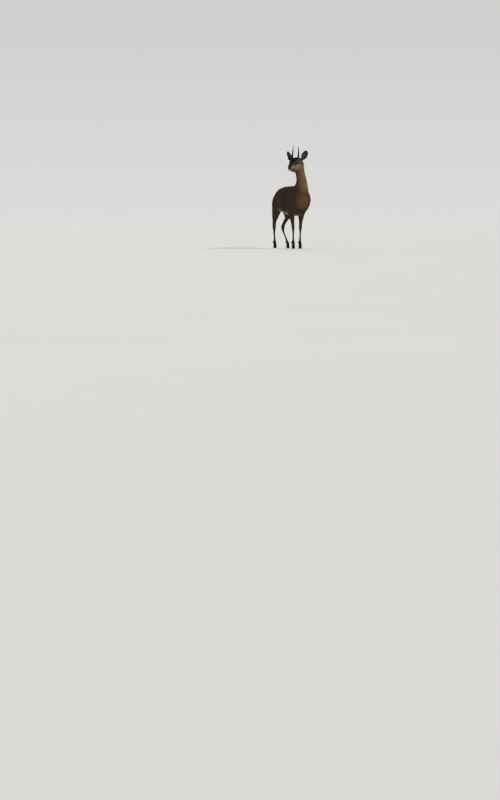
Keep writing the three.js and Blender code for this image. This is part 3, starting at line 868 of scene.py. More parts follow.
def lieField():
    ways = np.array([lieOf.get(part, (0, 0, 0)) for part in partOfNode], float)[skinNode]
    head = np.array([part == "head" for part in partOfNode])[skinNode]
    places = inHead(skinPoints)
    spread = unit(places * (0, 1, 1)) * liePlan["headSpread"] + np.array([-1, 0, 0])
    ways[head] = (spread @ headAxes)[head]
    for spot, reach, way in hangingAt.values():
        share = near(skinPoints, atBody(*spot), np.array(reach) * mm)[:, None]
        ways = ways * (1 - share) + np.array(way) * share
    for _ in range(liePlan["times"]):
        ways = evened(unit(ways), skinEdges, liePlan["rounds"])
        ways -= skinNormals * np.sum(ways * skinNormals, 1)[:, None]
    return unit(ways)


skinLie = lieField()
print("stage: markings and lie of the coat")

# The coat's tones are set darker than the animal's own grizzled yellow-brown: its colour, with painted
# shade over the whole coat for an animal standing in shadow
coatColours = {
    "straw": (0.094, 0.064, 0.038),
    "umber": (0.018, 0.013, 0.010),
    "root": (0.026, 0.020, 0.015),
    "rust": (0.260, 0.150, 0.066),
    "pale": (0.370, 0.325, 0.245),
    "grey": (0.046, 0.043, 0.039),
    "dark": (0.0105, 0.0095, 0.009),
}
# How far each tuft strays from its mark, and how dark and how light its colour may be
tuftShades = {
    "grey": (0.5, 0.5, 1.5),
    "rust": (0.5, 0.65, 1.35),
    "pale": (0.6, 0.55, 1.3),
    "dark": (0.3, 0.8, 1.6),
}


def coatMaterial():
    paint = Paint("klipspringer coat", Roughness=0.75, Specular_IOR_Level=0.04)
    tone = coatColours
    patch = paint.noise(24, 2)
    fleck = paint.noise(620, 2, (1, 1, 0.4))
    own = paint.mark("own") * 0.5 + fleck * 0.5
    tip = paint.mark("tip")

    def shades(share, name, low, high):
        return paint.mix(share, [c * low for c in tone[name]], [c * high for c in tone[name]])

    straw = shades(patch, "straw", 0.8, 1.2)
    colour = paint.mix(paint.ramp(own, (0.36, 0.12), (0.62, 0.92)), tone["umber"], straw)
    for name, (jitter, low, high) in tuftShades.items():
        share = paint.clamp(paint.mark(name) * (1 + jitter) - own * jitter)
        colour = paint.mix(share, colour, shades(own, name, low, high))
    # Each tuft is dusky at its root and at its very tip
    colour = paint.mix(paint.ramp(tip, (0.0, 0.35), (0.35, 0.0)), colour, tone["root"])
    colour = paint.mix(paint.ramp(tip, (0.8, 0.0), (1.0, 0.3)), colour, tone["umber"])
    return paint.finish(colour, bump=fleck, depth=0.5 * mm, strength=0.5)


coatPaint = coatMaterial()
for markName, values in skinMarksAndShade.items():
    write(skinMesh, markName, values)
write(skinMesh, "own", np.full(len(skinPoints), 0.45))
write(skinMesh, "tip", np.full(len(skinPoints), 0.3))
newPiece("skin", skinMesh, coatPaint, fleshNodes)

# Coat: flat tufts that lie along the skin. Long ones are blades of two rings and a tip, which follow
# the curve under them, and short ones are spikes of one ring and a tip
skinTree = BVHTree.FromPolygons(
    [tuple(p) for p in skinPoints], [tuple(f.vertices) for f in skinMesh.polygons]
)
tuftPlan = {
    "sink": 0.35,  # of the coat's depth, how far the root lies under the skin
    "lengthRange": (0.7, 1.2),
    "riseRange": (0.55, 1.0),  # of the coat's depth, how high it stands
    "turn": 0.2,  # how far tufts stray from the lie, in radians
    "patch": 0.003,
    "soft": 0.75,  # share of the skin's own shading that a tuft takes
    "tipLift": 0.95,
    "strayShare": 0.14,  # tufts whose tips stand off the rest
    "strayLift": 1.7,
    "freeBelow": 44,  # height under which tufts hang free over the hooves, in mm
    "spikeCrown": 0.28,  # how far along a spike its highest corner lies
    "bladeRise": 0.62,  # how high a blade's middle lies
    "rootRing": (0.34, 0.22),  # half width and crown of a blade's rings, in its own widths
    "middleRing": (0.5, 0.26),
    "quickShare": 0.4,
}
# Corners by their places on the tuft's patch, its faces, and how far along it each corner lies
bladeShape = {
    "corners": [(0, 0), (1, 0), (0.5, 0), (0.1, 0.6), (0.9, 0.6), (0.5, 0.6), (0.5, 1)],
    "faces": [
        (0, 2, 1), (0, 1, 4), (0, 4, 3), (1, 2, 5), (1, 5, 4), (2, 0, 3), (2, 3, 5),
        (3, 4, 6), (4, 5, 6), (5, 3, 6),
    ],
    "tips": [0, 0, 0, 0.5, 0.5, 0.5, 1],
}
spikeShape = {
    "corners": [(0, 0), (1, 0), (0.5, 0), (0.5, 1)],
    "faces": [(0, 2, 1), (0, 1, 3), (1, 2, 3), (2, 0, 3)],
    "tips": [0, 0, 0.25, 1],
}


def onSkin(points):  # the nearest places of the skin and the way out of it there
    spots, ways = np.empty((len(points), 3)), np.empty((len(points), 3))
    for number, point in enumerate(points):
        spot, way, _, _ = skinTree.find_nearest(point)
        spots[number], ways[number] = spot, way
    return spots, ways


def scatterRoots():  # for each tuft a face's middle, one of its corners and its size
    faces = skinMesh.polygons
    area, centre = readOut(faces, "area")[:, 0], readOut(faces, "center", 3)
    first = readOut(faces, "loop_start", kind=np.int32)[:, 0]
    corner = readOut(skinMesh.loops, "vertex_index", kind=np.int32)[first, 0]
    spacing = coatField("spacing", centre) * mm
    wanted = area / spacing**2 * 1
    count = np.floor(wanted + dice.random(len(wanted))).astype(int)
    face = np.repeat(np.arange(len(area)), count)
    return centre[face], corner[face], np.sqrt(area)[face]


barePlan = {
    "nose": 1.08,
    "lids": 0.13,
    "glandReach": (8, 9, 3.6),
    "gland": 0.2,
    "mouth": 0.4,
    "hoof": 33 * mm,
}


def barePlaces(points):  # skin that carries no tufts: the nose, lids, lips' edge and gland
    places, plan = inHead(points), barePlan
    bare = (noseGap(places) < plan["nose"]) | (lidReach(points) < plan["lids"])
    for side in sides.values():
        bare |= near(places, onSide(glandPlan["spot"], side), plan["glandReach"]) > plan["gland"]
    return bare | (mouthShare(places) > plan["mouth"]) | (points[:, 2] < plan["hoof"])


def ring(spot, out, across, lift, half, crown):  # two low corners and a raised one between them
    base = spot + out * lift[:, None]
    corners = [base + across * (half * way)[:, None] for way in (-1, 1)] + [base + out * crown[:, None]]
    lean = 1 - tuftPlan["soft"]
    return corners, [unit(out - across * lean), unit(out + across * lean), out]


def tuftMesh(name, form, points, normals, unwrapped, marks):
    points, normals = np.stack(points, 1), np.stack(normals, 1)
    count, each = points.shape[:2]
    loops = (np.arange(count)[:, None, None] * each + np.array(form["faces"])).reshape(-1, 3)
    mesh = bpy.data.meshes.new(name)
    mesh.vertices.add(count * each)
    mesh.vertices.foreach_set("co", points.astype(np.float32).ravel())
    mesh.loops.add(loops.size)
    mesh.loops.foreach_set("vertex_index", loops.astype(np.int32).ravel())
    mesh.polygons.add(len(loops))
    mesh.polygons.foreach_set("loop_start", np.arange(0, loops.size, 3, dtype=np.int32))
    mesh.polygons.foreach_set("use_smooth", np.ones(len(loops), bool))
    mesh.update(calc_edges=True)
    for mark, values in marks.items():
        write(mesh, mark, np.repeat(values, each))
    write(mesh, "own", np.repeat(np.clip(dice.normal(0.5, 0.2, count), 0, 1), each))
    write(mesh, "tip", np.tile(form["tips"], count))
    spread = unwrapped[:, None, :] + (np.array(form["corners"]) - 0.5) * tuftPlan["patch"]
    layer = mesh.uv_layers.new(name="OFBake")
    layer.uv.foreach_set("vector", spread.reshape(-1, 2)[loops.ravel()].astype(np.float32).ravel())
    mesh.normals_split_custom_set_from_vertices(normals.reshape(-1, 3).astype(np.float32))
    return mesh


def growTufts(name, roots, out, lie, size, unwrapped, spikes):
    plan, count = tuftPlan, len(roots)
    length, width, depth = size
    turn = dice.normal(0, plan["turn"], count)[:, None]
    way = unit(lie * np.cos(turn) + np.cross(out, lie) * np.sin(turn))
    across = np.cross(out, way)
    length = length * dice.uniform(*plan["lengthRange"], count)
    rise = depth * dice.uniform(*plan["riseRange"], count)
    lift = rise * np.where(dice.random(count) < plan["strayShare"], plan["strayLift"], plan["tipLift"])
    free = ((name == "coat_tail") | (roots[:, 2] < plan["freeBelow"] * mm))[:, None]
    end = roots + way * length[:, None]
    tipSpot, tipOut = onSkin(end)
    tipSpot, tipOut = np.where(free, end, tipSpot), np.where(free, out, tipOut)
    tip = tipSpot + tipOut * lift[:, None]
    sunk = -depth * plan["sink"]
    if spikes:
        form = spikeShape
        points, normals = ring(roots, out, across, sunk, width * 0.5, rise * 0.5 - sunk)
        points[2] = points[2] + (tip - roots) * plan["spikeCrown"]
    else:
        form = bladeShape
        spot, spotOut = onSkin(roots + way * (length * 0.5)[:, None])
        half, crown = plan["rootRing"]
        points, normals = ring(roots, out, across, sunk, width * half, width * crown)
        half, crown = plan["middleRing"]
        more = ring(spot, spotOut, across, rise * plan["bladeRise"], width * half, width * crown)
        points, normals = points + more[0], normals + more[1]
    mesh = tuftMesh(name, form, points + [tip], normals + [tipOut], unwrapped, markingsAndShade(roots, out))
    newPiece(name, mesh, coatPaint)


# Where long parts of the coat are cut into pieces: from the breast, from the floor and along the head
coatCuts = {
    "torso": [(-50, 120), (120, 230), (230, 340), (340, 600)],
    "neck": [(0, 530), (530, 640), (640, 900)],
    "head": -12,
}


def wound(points, start, axis, up):  # an unwrap round an axis: turn and distance along, 0.02 to 0.98
    axis = unit(np.asarray(axis, float))
    up = unit(up - axis * (up @ axis))
    side = np.cross(axis, up)
    away = points - start
    turn = np.arctan2(away @ side, away @ up) / (2 * math.pi) + 0.5
    along = away @ axis
    along = (along - along.min()) / (along.max() - along.min())
    return 0.02 + 0.96 * np.stack([turn, along], 1)


def dressSkin():
    centre, corner, size = scatterRoots()
    jitter = dice.uniform(-0.5, 0.5, (len(corner), 3)) * size[:, None]
    roots, out = onSkin(centre + jitter)
    keep = ~barePlaces(roots)
    roots, out, corner = roots[keep], out[keep], corner[keep]
    lie = skinLie[corner]
    lie = unit(lie - out * np.sum(lie * out, 1)[:, None])
    fields = [coatField(key, roots) * mm for key in ("length", "width", "depth")]
    part = skinNode[corner]
    upWay, alongBody = np.array([0, 0, 1.0]), np.array([0, 1.0, 0])

    def cover(name, chosen, start, axis, seam, spikes=False):
        size = [field[chosen] for field in fields]
        unwrapped = wound(roots[chosen], start, axis, seam)
        growTufts(name, roots[chosen], out[chosen], lie[chosen], size, unwrapped, spikes)
        print("coat piece", name, chosen.sum(), "tufts")

    def cutUp(node, places, start, axis, seam):
        for number, (low, high) in enumerate(coatCuts[node]):
            chosen = (part == fleshNodes.index(node)) & (places > low * mm) & (places <= high * mm)
            cover(f"coat_{node}_{number + 1}", chosen, start, axis, seam)

    cutUp("torso", roots[:, 1] - breast, atBody(0, 0, 410), alongBody, upWay)
    cutUp("neck", roots[:, 2], atBody(0, 80, 500), np.array([0, 0.1, 1.0]), alongBody)
    onHead = part == fleshNodes.index("head")
    farther = inHead(roots)[:, 0] > coatCuts["head"]
    for name, chosen in {"coat_face": onHead & farther, "coat_crown": onHead & ~farther}.items():
        cover(name, chosen, atHead(0, 0, -20), noseWay, crownWay, True)
    for number, node in enumerate(fleshNodes[3:], 3):
        start = np.array(middleOf(node))
        cover(f"coat_{node}", part == number, start, upWay, alongBody, node.endswith("lower"))
    return len(roots)


print("stage: coat grown,", dressSkin(), "tufts")


# Eyes
eyePlan = {"turns": 56, "rings": 36, "cornea": 0.05, "pupil": (0.55, 0.27)}


def eyeMaterial():
    paint = Paint("dark brown eye", Roughness=0.05, IOR=1.36, Specular_IOR_Level=0.32)
    across, up = paint.mark("across"), paint.mark("up")
    streaks = paint.noise(900, 2)
    wide, high = eyePlan["pupil"]
    pupil = ((across / wide) ** 2.0 + (up / high) ** 2.0) ** 0.5
    iris = (across ** 2.0 + up ** 2.0) ** 0.5
    brown = paint.mix(streaks, (0.007, 0.0036, 0.002), (0.024, 0.012, 0.006))
    colour = paint.mix(paint.ramp(pupil, (0.9, 1.0), (1.1, 0.0)), brown, (0.004, 0.005, 0.009))
    colour = paint.mix(paint.ramp(iris, (0.70, 0.0), (0.80, 1.0)), colour, (0.005, 0.004, 0.004))
    return paint.finish(colour)


def eyeball(name, side, material):
    toNose, toBrow, gaze = eyeAxes(side)
    shape = bmesh.new()
    bmesh.ops.create_uvsphere(shape, u_segments=eyePlan["turns"], v_segments=eyePlan["rings"], radius=1)
    places = np.array([vert.co for vert in shape.verts])
    axes = Matrix([toNose, toBrow * -side, gaze]).transposed().to_4x4()
    bulge = 1 + eyePlan["cornea"] * fade(np.arccos(np.clip(places[:, 2], -1, 1)), 0.75, 0.1)
    for vert, more in zip(shape.verts, bulge):
        vert.co *= more
    matrix = Matrix.Translation(eyeMiddle(name)) @ axes @ Matrix.Scale(eyeRadius, 4)
    bmesh.ops.transform(shape, matrix=matrix, verts=shape.verts)
    mesh = closedMesh(shape, f"eyeball_{name}")
    write(mesh, "across", places[:, 0])
    write(mesh, "up", places[:, 1])
    newPiece(f"eyeball_{name}", mesh, material, [f"eye_{name}"])


def onLid(name, side, turn, more, away):  # round the opening: how far above its edge and off the ball
    toNose, toBrow, gaze = eyeAxes(side)
    share = np.cos(turn)
    across = (share * lidPlan["halfWide"])[:, None]
    up = (lidMiddle(share) + lidHalf(share) * np.sin(turn) + more)[:, None]
    out = toNose * np.sin(across) * np.cos(up) + gaze * np.cos(across) * np.cos(up) + toBrow * np.sin(up)
    return eyeMiddle(name) + out * (eyeRadius + away), out


rimPlan = {"steps": 72, "half": 0.5 * mm, "away": 0.3 * mm, "roundness": 3}


def lidRim(name, side, material):  # the wet dark edge of the lids, a thin cord round the opening
    curve = bpy.data.curves.new(f"lid_rim_{name}", "CURVE")
    curve.dimensions = "3D"
    curve.bevel_depth = rimPlan["half"]
    curve.bevel_resolution = rimPlan["roundness"]
    line = curve.splines.new("POLY")
    line.points.add(rimPlan["steps"] - 1)
    line.use_cyclic_u = True
    turns = 2 * math.pi * np.arange(rimPlan["steps"]) / rimPlan["steps"]
    for point, spot in zip(line.points, onLid(name, side, turns, 0, rimPlan["away"])[0]):
        point.co = (*spot, 1)
    mesh = evaluatedMesh(placed("rimCurve", curve))
    mesh.polygons.foreach_set("use_smooth", np.ones(len(mesh.polygons), bool))
    newPiece(f"lid_rim_{name}", mesh, material)


def bareSkinMaterial():
    paint = Paint("bare dark skin", Roughness=0.36, Specular_IOR_Level=0.25)
    sockets = {"Vector": paint.place(), "Scale": 750.0}
    cells = paint.node("ShaderNodeTexVoronoi", {"feature": "DISTANCE_TO_EDGE"}, sockets)
    pebble = paint.ramp(cells, (0.0, 0.0), (0.25, 1.0))
    colour = paint.mix(pebble, (0.004, 0.004, 0.004), (0.012, 0.011, 0.011))
    return paint.finish(colour, bump=pebble, depth=0.25 * mm, strength=0.7)


lashPlan = {
    "count": 46,
    "length": 5.0,
    "width": 0.45,
    "from": 0.1,  # in half turns round the opening
    "to": 0.92,
    "above": 0.05,  # off the lid's edge, in radians
    "away": 0.6 * mm,
    "lean": (0.25, 0.35),  # towards the brow, and back from the nose
    "stray": 0.08,
    "curl": 0.12,  # of its length, how far a tip rises
}


def lashes(name, side, material):  # a row of stiff dark hairs along the upper lid
    toNose, toBrow, _ = eyeAxes(side)
    plan, count = lashPlan, lashPlan["count"]
    turn = math.pi * np.linspace(plan["from"], plan["to"], count) + dice.normal(0, 0.02, count)
    root, out = onLid(name, side, turn, plan["above"], plan["away"])
    up, back = plan["lean"]
    way = unit(out + toBrow * up - toNose * back + dice.normal(0, plan["stray"], (count, 3)))
    length = plan["length"] * mm * np.sin(turn) ** 0.5 * dice.uniform(0.7, 1.1, count)
    beside = unit(np.cross(way, toBrow))
    width = np.full(count, plan["width"] * mm)
    points, normals = ring(root, unit(np.cross(beside, way)), beside, 0 * width, width / 2, width)
    tip = root + way * length[:, None] + toBrow * (length * plan["curl"])[:, None]
    unwrapped = np.stack([np.linspace(0.05, 0.95, count), np.full(count, 0.5)], 1)
    mesh = tuftMesh(f"lashes_{name}", spikeShape, points + [tip], normals + [out], unwrapped, {})
    newPiece(f"lashes_{name}", mesh, material)


eyePaint, barePaint = eyeMaterial(), bareSkinMaterial()
wetDark = {"Base_Color": (0.006, 0.005, 0.005, 1), "Roughness": 0.28, "Specular_IOR_Level": 0.4}
lidPaint = Paint("wet lid edge", **wetDark).finish()
for name, side in sides.items():
    eyeball(name, side, eyePaint)
    lidRim(name, side, lidPaint)
    lashes(name, side, lidPaint)
print("stage: eyes")


# Nose pad: the skin's own faces at the tip, copied, lifted and given a back
def nosePad():
    shape = bmesh.new()
    shape.from_mesh(skinMesh)
    centres = inHead(np.array([face.calc_center_median() for face in shape.faces]))
    outside = [face for face, gap in zip(shape.faces[:], noseGap(centres)) if gap > 1]
    bmesh.ops.delete(shape, geom=outside, context="FACES")
    axes = {f"use_axis_{axis}": True for axis in "xyz"}
    for _ in range(nosePlan["rimEvenings"]):
        rim = [vert for vert in shape.verts if vert.is_boundary]
        bmesh.ops.smooth_vert(shape, verts=rim, factor=0.5, **axes)
    shape.normal_update()
    places = inHead(np.array([vert.co for vert in shape.verts]))
    pit = nostrilShare(places)
    height = nosePlan["lift"] * fade(noseGap(places), 1.1, 0.8)
    height += nosePlan["wing"] * fade(pit, 0, 0.1) * fade(pit, 0.4, 0.1)
    for vert, lift in zip(shape.verts, height):
        vert.co += vert.normal * float(lift) * mm
    bmesh.ops.solidify(shape, geom=shape.faces[:], thickness=nosePlan["thick"])
    newPiece("nose", closedMesh(shape, "nose"), barePaint, ["nose_pad"])


nosePad()
print("stage: nose")


# Horns: spikes with raised rings over the lower part
def hornMaterial():
    paint = Paint("black ringed horn", Roughness=0.38, Specular_IOR_Level=0.22)
    grain = paint.noise(160, 4, (1, 1, 0.12))
    worn = paint.mark("tip")
    colour = paint.mix(grain, (0.005, 0.0045, 0.0045), (0.024, 0.021, 0.019))
    colour = paint.mix(paint.ramp(worn, (0.75, 0.0), (1.0, 0.4)), colour, (0.04, 0.036, 0.032))
    return paint.finish(colour, roughness=grain * 0.25 + 0.3, bump=grain, depth=0.5 * mm, strength=0.6)


hornPlan = {
    "base": (-24, 31, 36),
    "length": 110,
    "radius": 8.5,
    "tipRadius": 0.25,
    "taper": 0.82,
    "rooted": 12,
    "rings": 9,
    "ringsFrom": 0.07,
    "ringsTo": 0.56,
    "ringHeight": 0.75,
    "ringSharp": 0.7,
    "ringFade": 0.6,  # how much lower the last ring is
    "leanBack": 0.13,
    "leanIn": 0.05,
    "bend": (-3, 7),  # how far the tip curves, by its height and its height squared
    "around": 28,
    "steps": 120,
}


def hornRadius(share):
    plan = hornPlan
    smooth = plan["radius"] * (1 - share) ** plan["taper"] + plan["tipRadius"]
    reach = (share - plan["ringsFrom"]) / (plan["ringsTo"] - plan["ringsFrom"])
    wave = max(0.0, math.sin(2 * math.pi * reach * plan["rings"])) ** plan["ringSharp"]
    height = plan["ringHeight"] * (1 - plan["ringFade"] * max(reach, 0))
    return smooth + (height * wave if 0 < reach < 1 else 0)


def horn(name, side, material):
    plan, steps = hornPlan, hornPlan["steps"]
    profile = [(0, -plan["rooted"]), (hornRadius(0), -plan["rooted"])]
    profile += [(hornRadius(k / steps), plan["length"] * k / steps) for k in range(steps)]
    profile += [(0.3, plan["length"] + 0.2), (0, plan["length"] + 0.5)]
    shape = spun(profile, plan["around"])
    tips = [max(0.0, vert.co.z) / (plan["length"] * mm) for vert in shape.verts]
    for vert, share in zip(shape.verts, tips):
        vert.co.x += (plan["bend"][1] * share**2 + plan["bend"][0] * share) * mm
    lean = Matrix.Rotation(-headPose["pitch"] - plan["leanBack"], 4, "Y")
    lean = lean @ Matrix.Rotation(side * plan["leanIn"], 4, "X")
    turn = Matrix(headAxes).transposed().to_4x4()
    base = atHead(*onSide(plan["base"], side))
    bmesh.ops.transform(shape, matrix=Matrix.Translation(base) @ turn @ lean, verts=shape.verts)
    mesh = closedMesh(shape, f"horn_{name}_ringed")
    write(mesh, "tip", tips)
    newPiece(f"horn_{name}_ringed", mesh, material, [f"horn_{name}"])


hornPaint = hornMaterial()
for name, side in sides.items():
    horn(name, side, hornPaint)
print("stage: horns")

# Ears: a broad leaf curled into a cup. way is where an ear points and open is where its hollow looks
earPlan = {
    "length": 89,
    "width": 52,
    "from": -0.1,  # the leaf starts this share of its length inside the head
    "root": (-61, 46, 14),
    "left": {"way": (-0.74, 0.19, 0.65), "open": (0.59, 0.62, 0.51)},
    "right": {"way": (-0.15, -0.64, 0.73), "open": (0.9, -0.25, 0.1)},
    "steps": (52, 40),
    "stem": 0.16,  # its half width at the root, as a share
    "widens": 0.5,  # the share of its length in which it grows to full width
    "blunt": 3.2,  # how round the tip is
    "thick": (1.2, 1.4),  # at the tip, and so much more at the root
    "thinEdge": 0.75,
    "notch": (0.04, 0.75, 0.2),  # in the upper edge: depth, place and width
    "curl": (1.95, 0.75),  # half turn of the cup at the root and at the tip, in radians
    "ribs": 5.5 * math.pi,  # how close the lines in the hollow lie
    "ribRise": 0.55,
    "hollowed": 6,  # how far the leaf bends forward
    # hair on the back of the ear and in its hollow
    "backHair": {"count": 2600, "length": 5.0, "width": 0.9, "rise": 0.7, "inward": 0.0},
    "hollowHair": {"count": 900, "length": 11.0, "width": 0.7, "rise": 1.6, "inward": 0.55},
}


def earMaterial():
    paint = Paint("ear skin and down", Roughness=0.7, Specular_IOR_Level=0.12)
    down = paint.noise(300, 3, (1, 1, 0.5))
    own = paint.mark("own") * 0.6 + down * 0.4
    # The hollow is painted dark grey, darker than its own whitish skin: painted shade in the cup of the
    # ear. The paler lines are its hair
    colour = paint.mix(own, (0.012, 0.010, 0.011), (0.030, 0.027, 0.027))
    colour = paint.mix(paint.mark("lines"), colour, (0.075, 0.068, 0.062))
    back = paint.mix(own, (0.018, 0.014, 0.011), (0.085, 0.062, 0.040))
    colour = paint.mix(paint.mark("outside"), colour, back)
    colour = paint.mix(paint.mark("edge"), colour, (0.008, 0.007, 0.007))
    return paint.finish(colour, bump=down, depth=0.5 * mm, strength=0.5)


class Ear:
    # one ear's frame, and places on its leaf: t runs from root to tip and a from edge to edge
    def __init__(self, name):
        self.name = name
        self.root = onSide(earPlan["root"], sides[name])
        self.along = unit(np.array(earPlan[name]["way"]))
        facing = np.array(earPlan[name]["open"])
        self.facing = unit(facing - self.along * (facing @ self.along))
        self.across = np.cross(self.along, self.facing)

    def places(self, t, a, out):
        plan = earPlan
        grown = np.clip((t - plan["from"]) / plan["widens"], 0, 1)
        half = plan["width"] / 2 * (plan["stem"] + (1 - plan["stem"]) * np.sin(grown * math.pi / 2))
        half = half * np.sqrt(np.maximum(0.004, 1 - np.clip(t, 0, 1) ** plan["blunt"]))
        curl = plan["curl"][0] + (plan["curl"][1] - plan["curl"][0]) * np.clip(t * 1.5, 0, 1)
        turn = a * curl
        radius = half / np.sin(np.minimum(curl, math.pi / 2))
        tipThick, more = plan["thick"]
        thick = (tipThick + more * (1 - t)) * (1 - plan["thinEdge"] * np.abs(a) ** 3)
        ridge = plan["ribRise"] * np.cos(a * plan["ribs"]) * (1 - np.abs(a)) * np.clip(3 * t, 0, 1)
        deep, middle, wide = plan["notch"]
        notch = 1 - deep * np.exp(-(((np.abs(a) - middle) / wide) ** 2)) * (t > 0.5)
        reach = radius * notch + out * thick + ridge * (out < 0)
        spot = self.root + np.outer(t * plan["length"], self.along)
        spot = spot + np.outer(np.sin(turn) * reach, self.across)
        forward = radius - np.cos(turn) * reach - plan["hollowed"] * t * np.abs(t)
        return headOrigin + (spot + np.outer(forward, self.facing)) @ headAxes * mm

    def marks(self, t, a, out):
        edge = np.maximum(fade(np.abs(a), 0.72, 0.95), fade(t, 0.7, 0.92)) * fade(t, 0.15, 0.45)
        lines = fade(np.cos(a * earPlan["ribs"]), 0.0, 0.8) * fade(t, 0.9, 0.55) * fade(np.abs(a), 1, 0.75)
        return {"edge": edge, "lines": lines * (out < 0), "outside": (out > 0) * 1.0}


def earLeaf(ear, material):
    rows, columns = earPlan["steps"]
    shape = bmesh.new()
    bmesh.ops.create_grid(shape, x_segments=rows, y_segments=columns, size=1)
    bmesh.ops.solidify(shape, geom=shape.faces[:], thickness=0.02)
    flat = np.array([vert.co for vert in shape.verts])
    t = earPlan["from"] + (1 - earPlan["from"]) * ((flat[:, 0] + 1) / 2) ** 0.85
    a, out = flat[:, 1], np.where(flat[:, 2] < -0.01, 1, -1)
    for vert, spot in zip(shape.verts, ear.places(t, a, out)):
        vert.co = spot
    mesh = closedMesh(shape, f"ear_{ear.name}_leaf")
    for mark, values in ear.marks(t, a, out).items():
        write(mesh, mark, values)
    write(mesh, "own", np.full(len(flat), 0.5))
    newPiece(f"ear_{ear.name}_leaf", mesh, material, [f"ear_{ear.name}"])


def earHair(ear, material, kind, out):
    plan = earPlan[kind]
    count = plan["count"]
    if out > 0:
        t, a = dice.uniform(0.0, 0.94, count), dice.uniform(-0.97, 0.97, count)
    else:  # pale hairs stand along the two edges and fill the bottom of the cup
        t = dice.uniform(0.02, 0.8, count) ** 1.3
        a = dice.choice((-1, 1), count) * dice.uniform(0.5, 0.97, count)
    length = plan["length"] * dice.uniform(0.6, 1.2, count) * mm
    outs = np.full(count, float(out))
    root = ear.places(t, a, outs)
    stepT, stepA = ear.places(t + 0.02, a, outs) - root, ear.places(t, a + 0.02, outs) - root
    outward = ear.places(t, a, outs * 2) - root
    normal = np.cross(stepA, stepT)
    normal = unit(normal) * np.sign(np.sum(normal * outward, 1))[:, None]
    inward = -np.sign(a)[:, None] * unit(stepA) * plan["inward"]
    way = unit(unit(stepT) + inward + dice.normal(0, 0.15, (count, 3)))
    way = unit(way - normal * np.sum(way * normal, 1)[:, None])
    rise = np.full(count, plan["rise"] * mm)
    width = np.full(count, plan["width"] * mm)
    points, normals = ring(root, normal, np.cross(normal, way), -0.2 * rise, width / 2, width * 0.3)
    reach = np.minimum(length, (1.0 - t) * earPlan["length"] * mm + 1.5 * mm)
    tip = root + way * reach[:, None] + normal * rise[:, None]
    marks = ear.marks(t, a, outs)
    if out < 0:
        marks["lines"] = 0.9 - 0.5 * t
        marks["edge"] = marks["edge"] * 0.5
    unwrapped = np.stack([t * 0.9 + 0.05, a * 0.45 + 0.5], 1)
    name = f"coat_ear_{ear.name}_{kind}"
    mesh = tuftMesh(name, spikeShape, points + [tip], normals + [normal], unwrapped, marks)
    newPiece(name, mesh, material)


earPaint = earMaterial()
for name in sides:
    ear = Ear(name)
    earLeaf(ear, earPaint)
    earHair(ear, earPaint, "backHair", 1)
    earHair(ear, earPaint, "hollowHair", -1)
print("stage: ears")


# Hooves: blunt pegs that stand on their tips, and the small claws behind them
def hoofMaterial():
    paint = Paint("dark hoof", Roughness=0.5, Specular_IOR_Level=0.12)
    bands = paint.noise(60, 3, (0.3, 0.3, 6))
    colour = paint.mix(bands, (0.004, 0.0036, 0.0034), (0.018, 0.015, 0.013))
    worn = paint.mark("sole")
    colour = paint.mix(worn, colour, (0.06, 0.054, 0.046))
    return paint.finish(colour, roughness=bands * 0.3 + 0.4, bump=bands, depth=0.5 * mm, strength=0.7)


# Rings up the hoof: height share, half width, half depth, and how far forward the ring lies
hoofRings = [
    (0.0, 0.50, 0.56, 0.08), (0.025, 0.68, 0.73, 0.07), (0.07, 0.83, 0.86, 0.05), (0.14, 0.94, 0.95, 0.03),
    (0.26, 1.0, 1.0, 0.0), (0.42, 0.98, 0.98, -0.02), (0.60, 0.92, 0.92, -0.04), (0.76, 0.87, 0.87, -0.06),
    (0.88, 0.84, 0.83, -0.07), (1.0, 0.81, 0.79, -0.07), (1.2, 0.60, 0.62, -0.06),
]
hoofPlan = {
    "around": 36,
    "flat": 0.55,  # power that flattens the side by the cleft
    "fuller": 0.06,
    "toe": 0.16,  # how much narrower the toe is
    "worn": (2.4 * mm, 0.2 * mm),
}


def hoof(node, material):
    low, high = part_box(node)
    middle, half = (low + high) / 2, (high - low) / 2
    cleft = 1 if node.endswith("inner") == ("left" not in node) else -1  # the side its twin stands on
    shape = bmesh.new()
    bmesh.ops.create_circle(shape, cap_ends=False, segments=hoofPlan["around"], radius=1)
    rings, edges = [shape.verts[:]], shape.edges[:]
    for _ in hoofRings[1:]:
        grown = bmesh.ops.extrude_edge_only(shape, edges=edges)["geom"]
        rings.append([item for item in grown if isinstance(item, bmesh.types.BMVert)])
        edges = [item for item in grown if isinstance(item, bmesh.types.BMEdge)]
    for loop, (up, wide, deep, forward) in zip(rings, hoofRings):
        for vert in loop:
            x, y = vert.co.x, vert.co.y
            if x * cleft > 0:
                x = math.copysign(abs(x) ** hoofPlan["flat"], x) * min(1.0, wide + hoofPlan["fuller"])
            else:
                x = x * wide
            if y < 0:
                x *= 1 - hoofPlan["toe"] * y * y
            vert.co = middle + Vector((x * half.x, (y * deep - forward) * half.y, (up * 2 - 1) * half.z))
    bmesh.ops.holes_fill(shape, edges=[edge for edge in shape.edges if edge.is_boundary], sides=0)
    soles = [float(fade(vert.co.z, *hoofPlan["worn"])) * 0.8 for vert in shape.verts]
    mesh = closedMesh(shape, f"{node}_peg")
    write(mesh, "sole", soles)
    newPiece(f"{node}_peg", mesh, material, [node])


clawPlan = {
    "turns": 20,
    "steps": 16,
    "rooted": 8.0,
    "half": 4.3,
    "taper": 0.45,
    "ends": (4 * mm, 2 * mm),  # how much of the solid's top and foot give its two ends
}


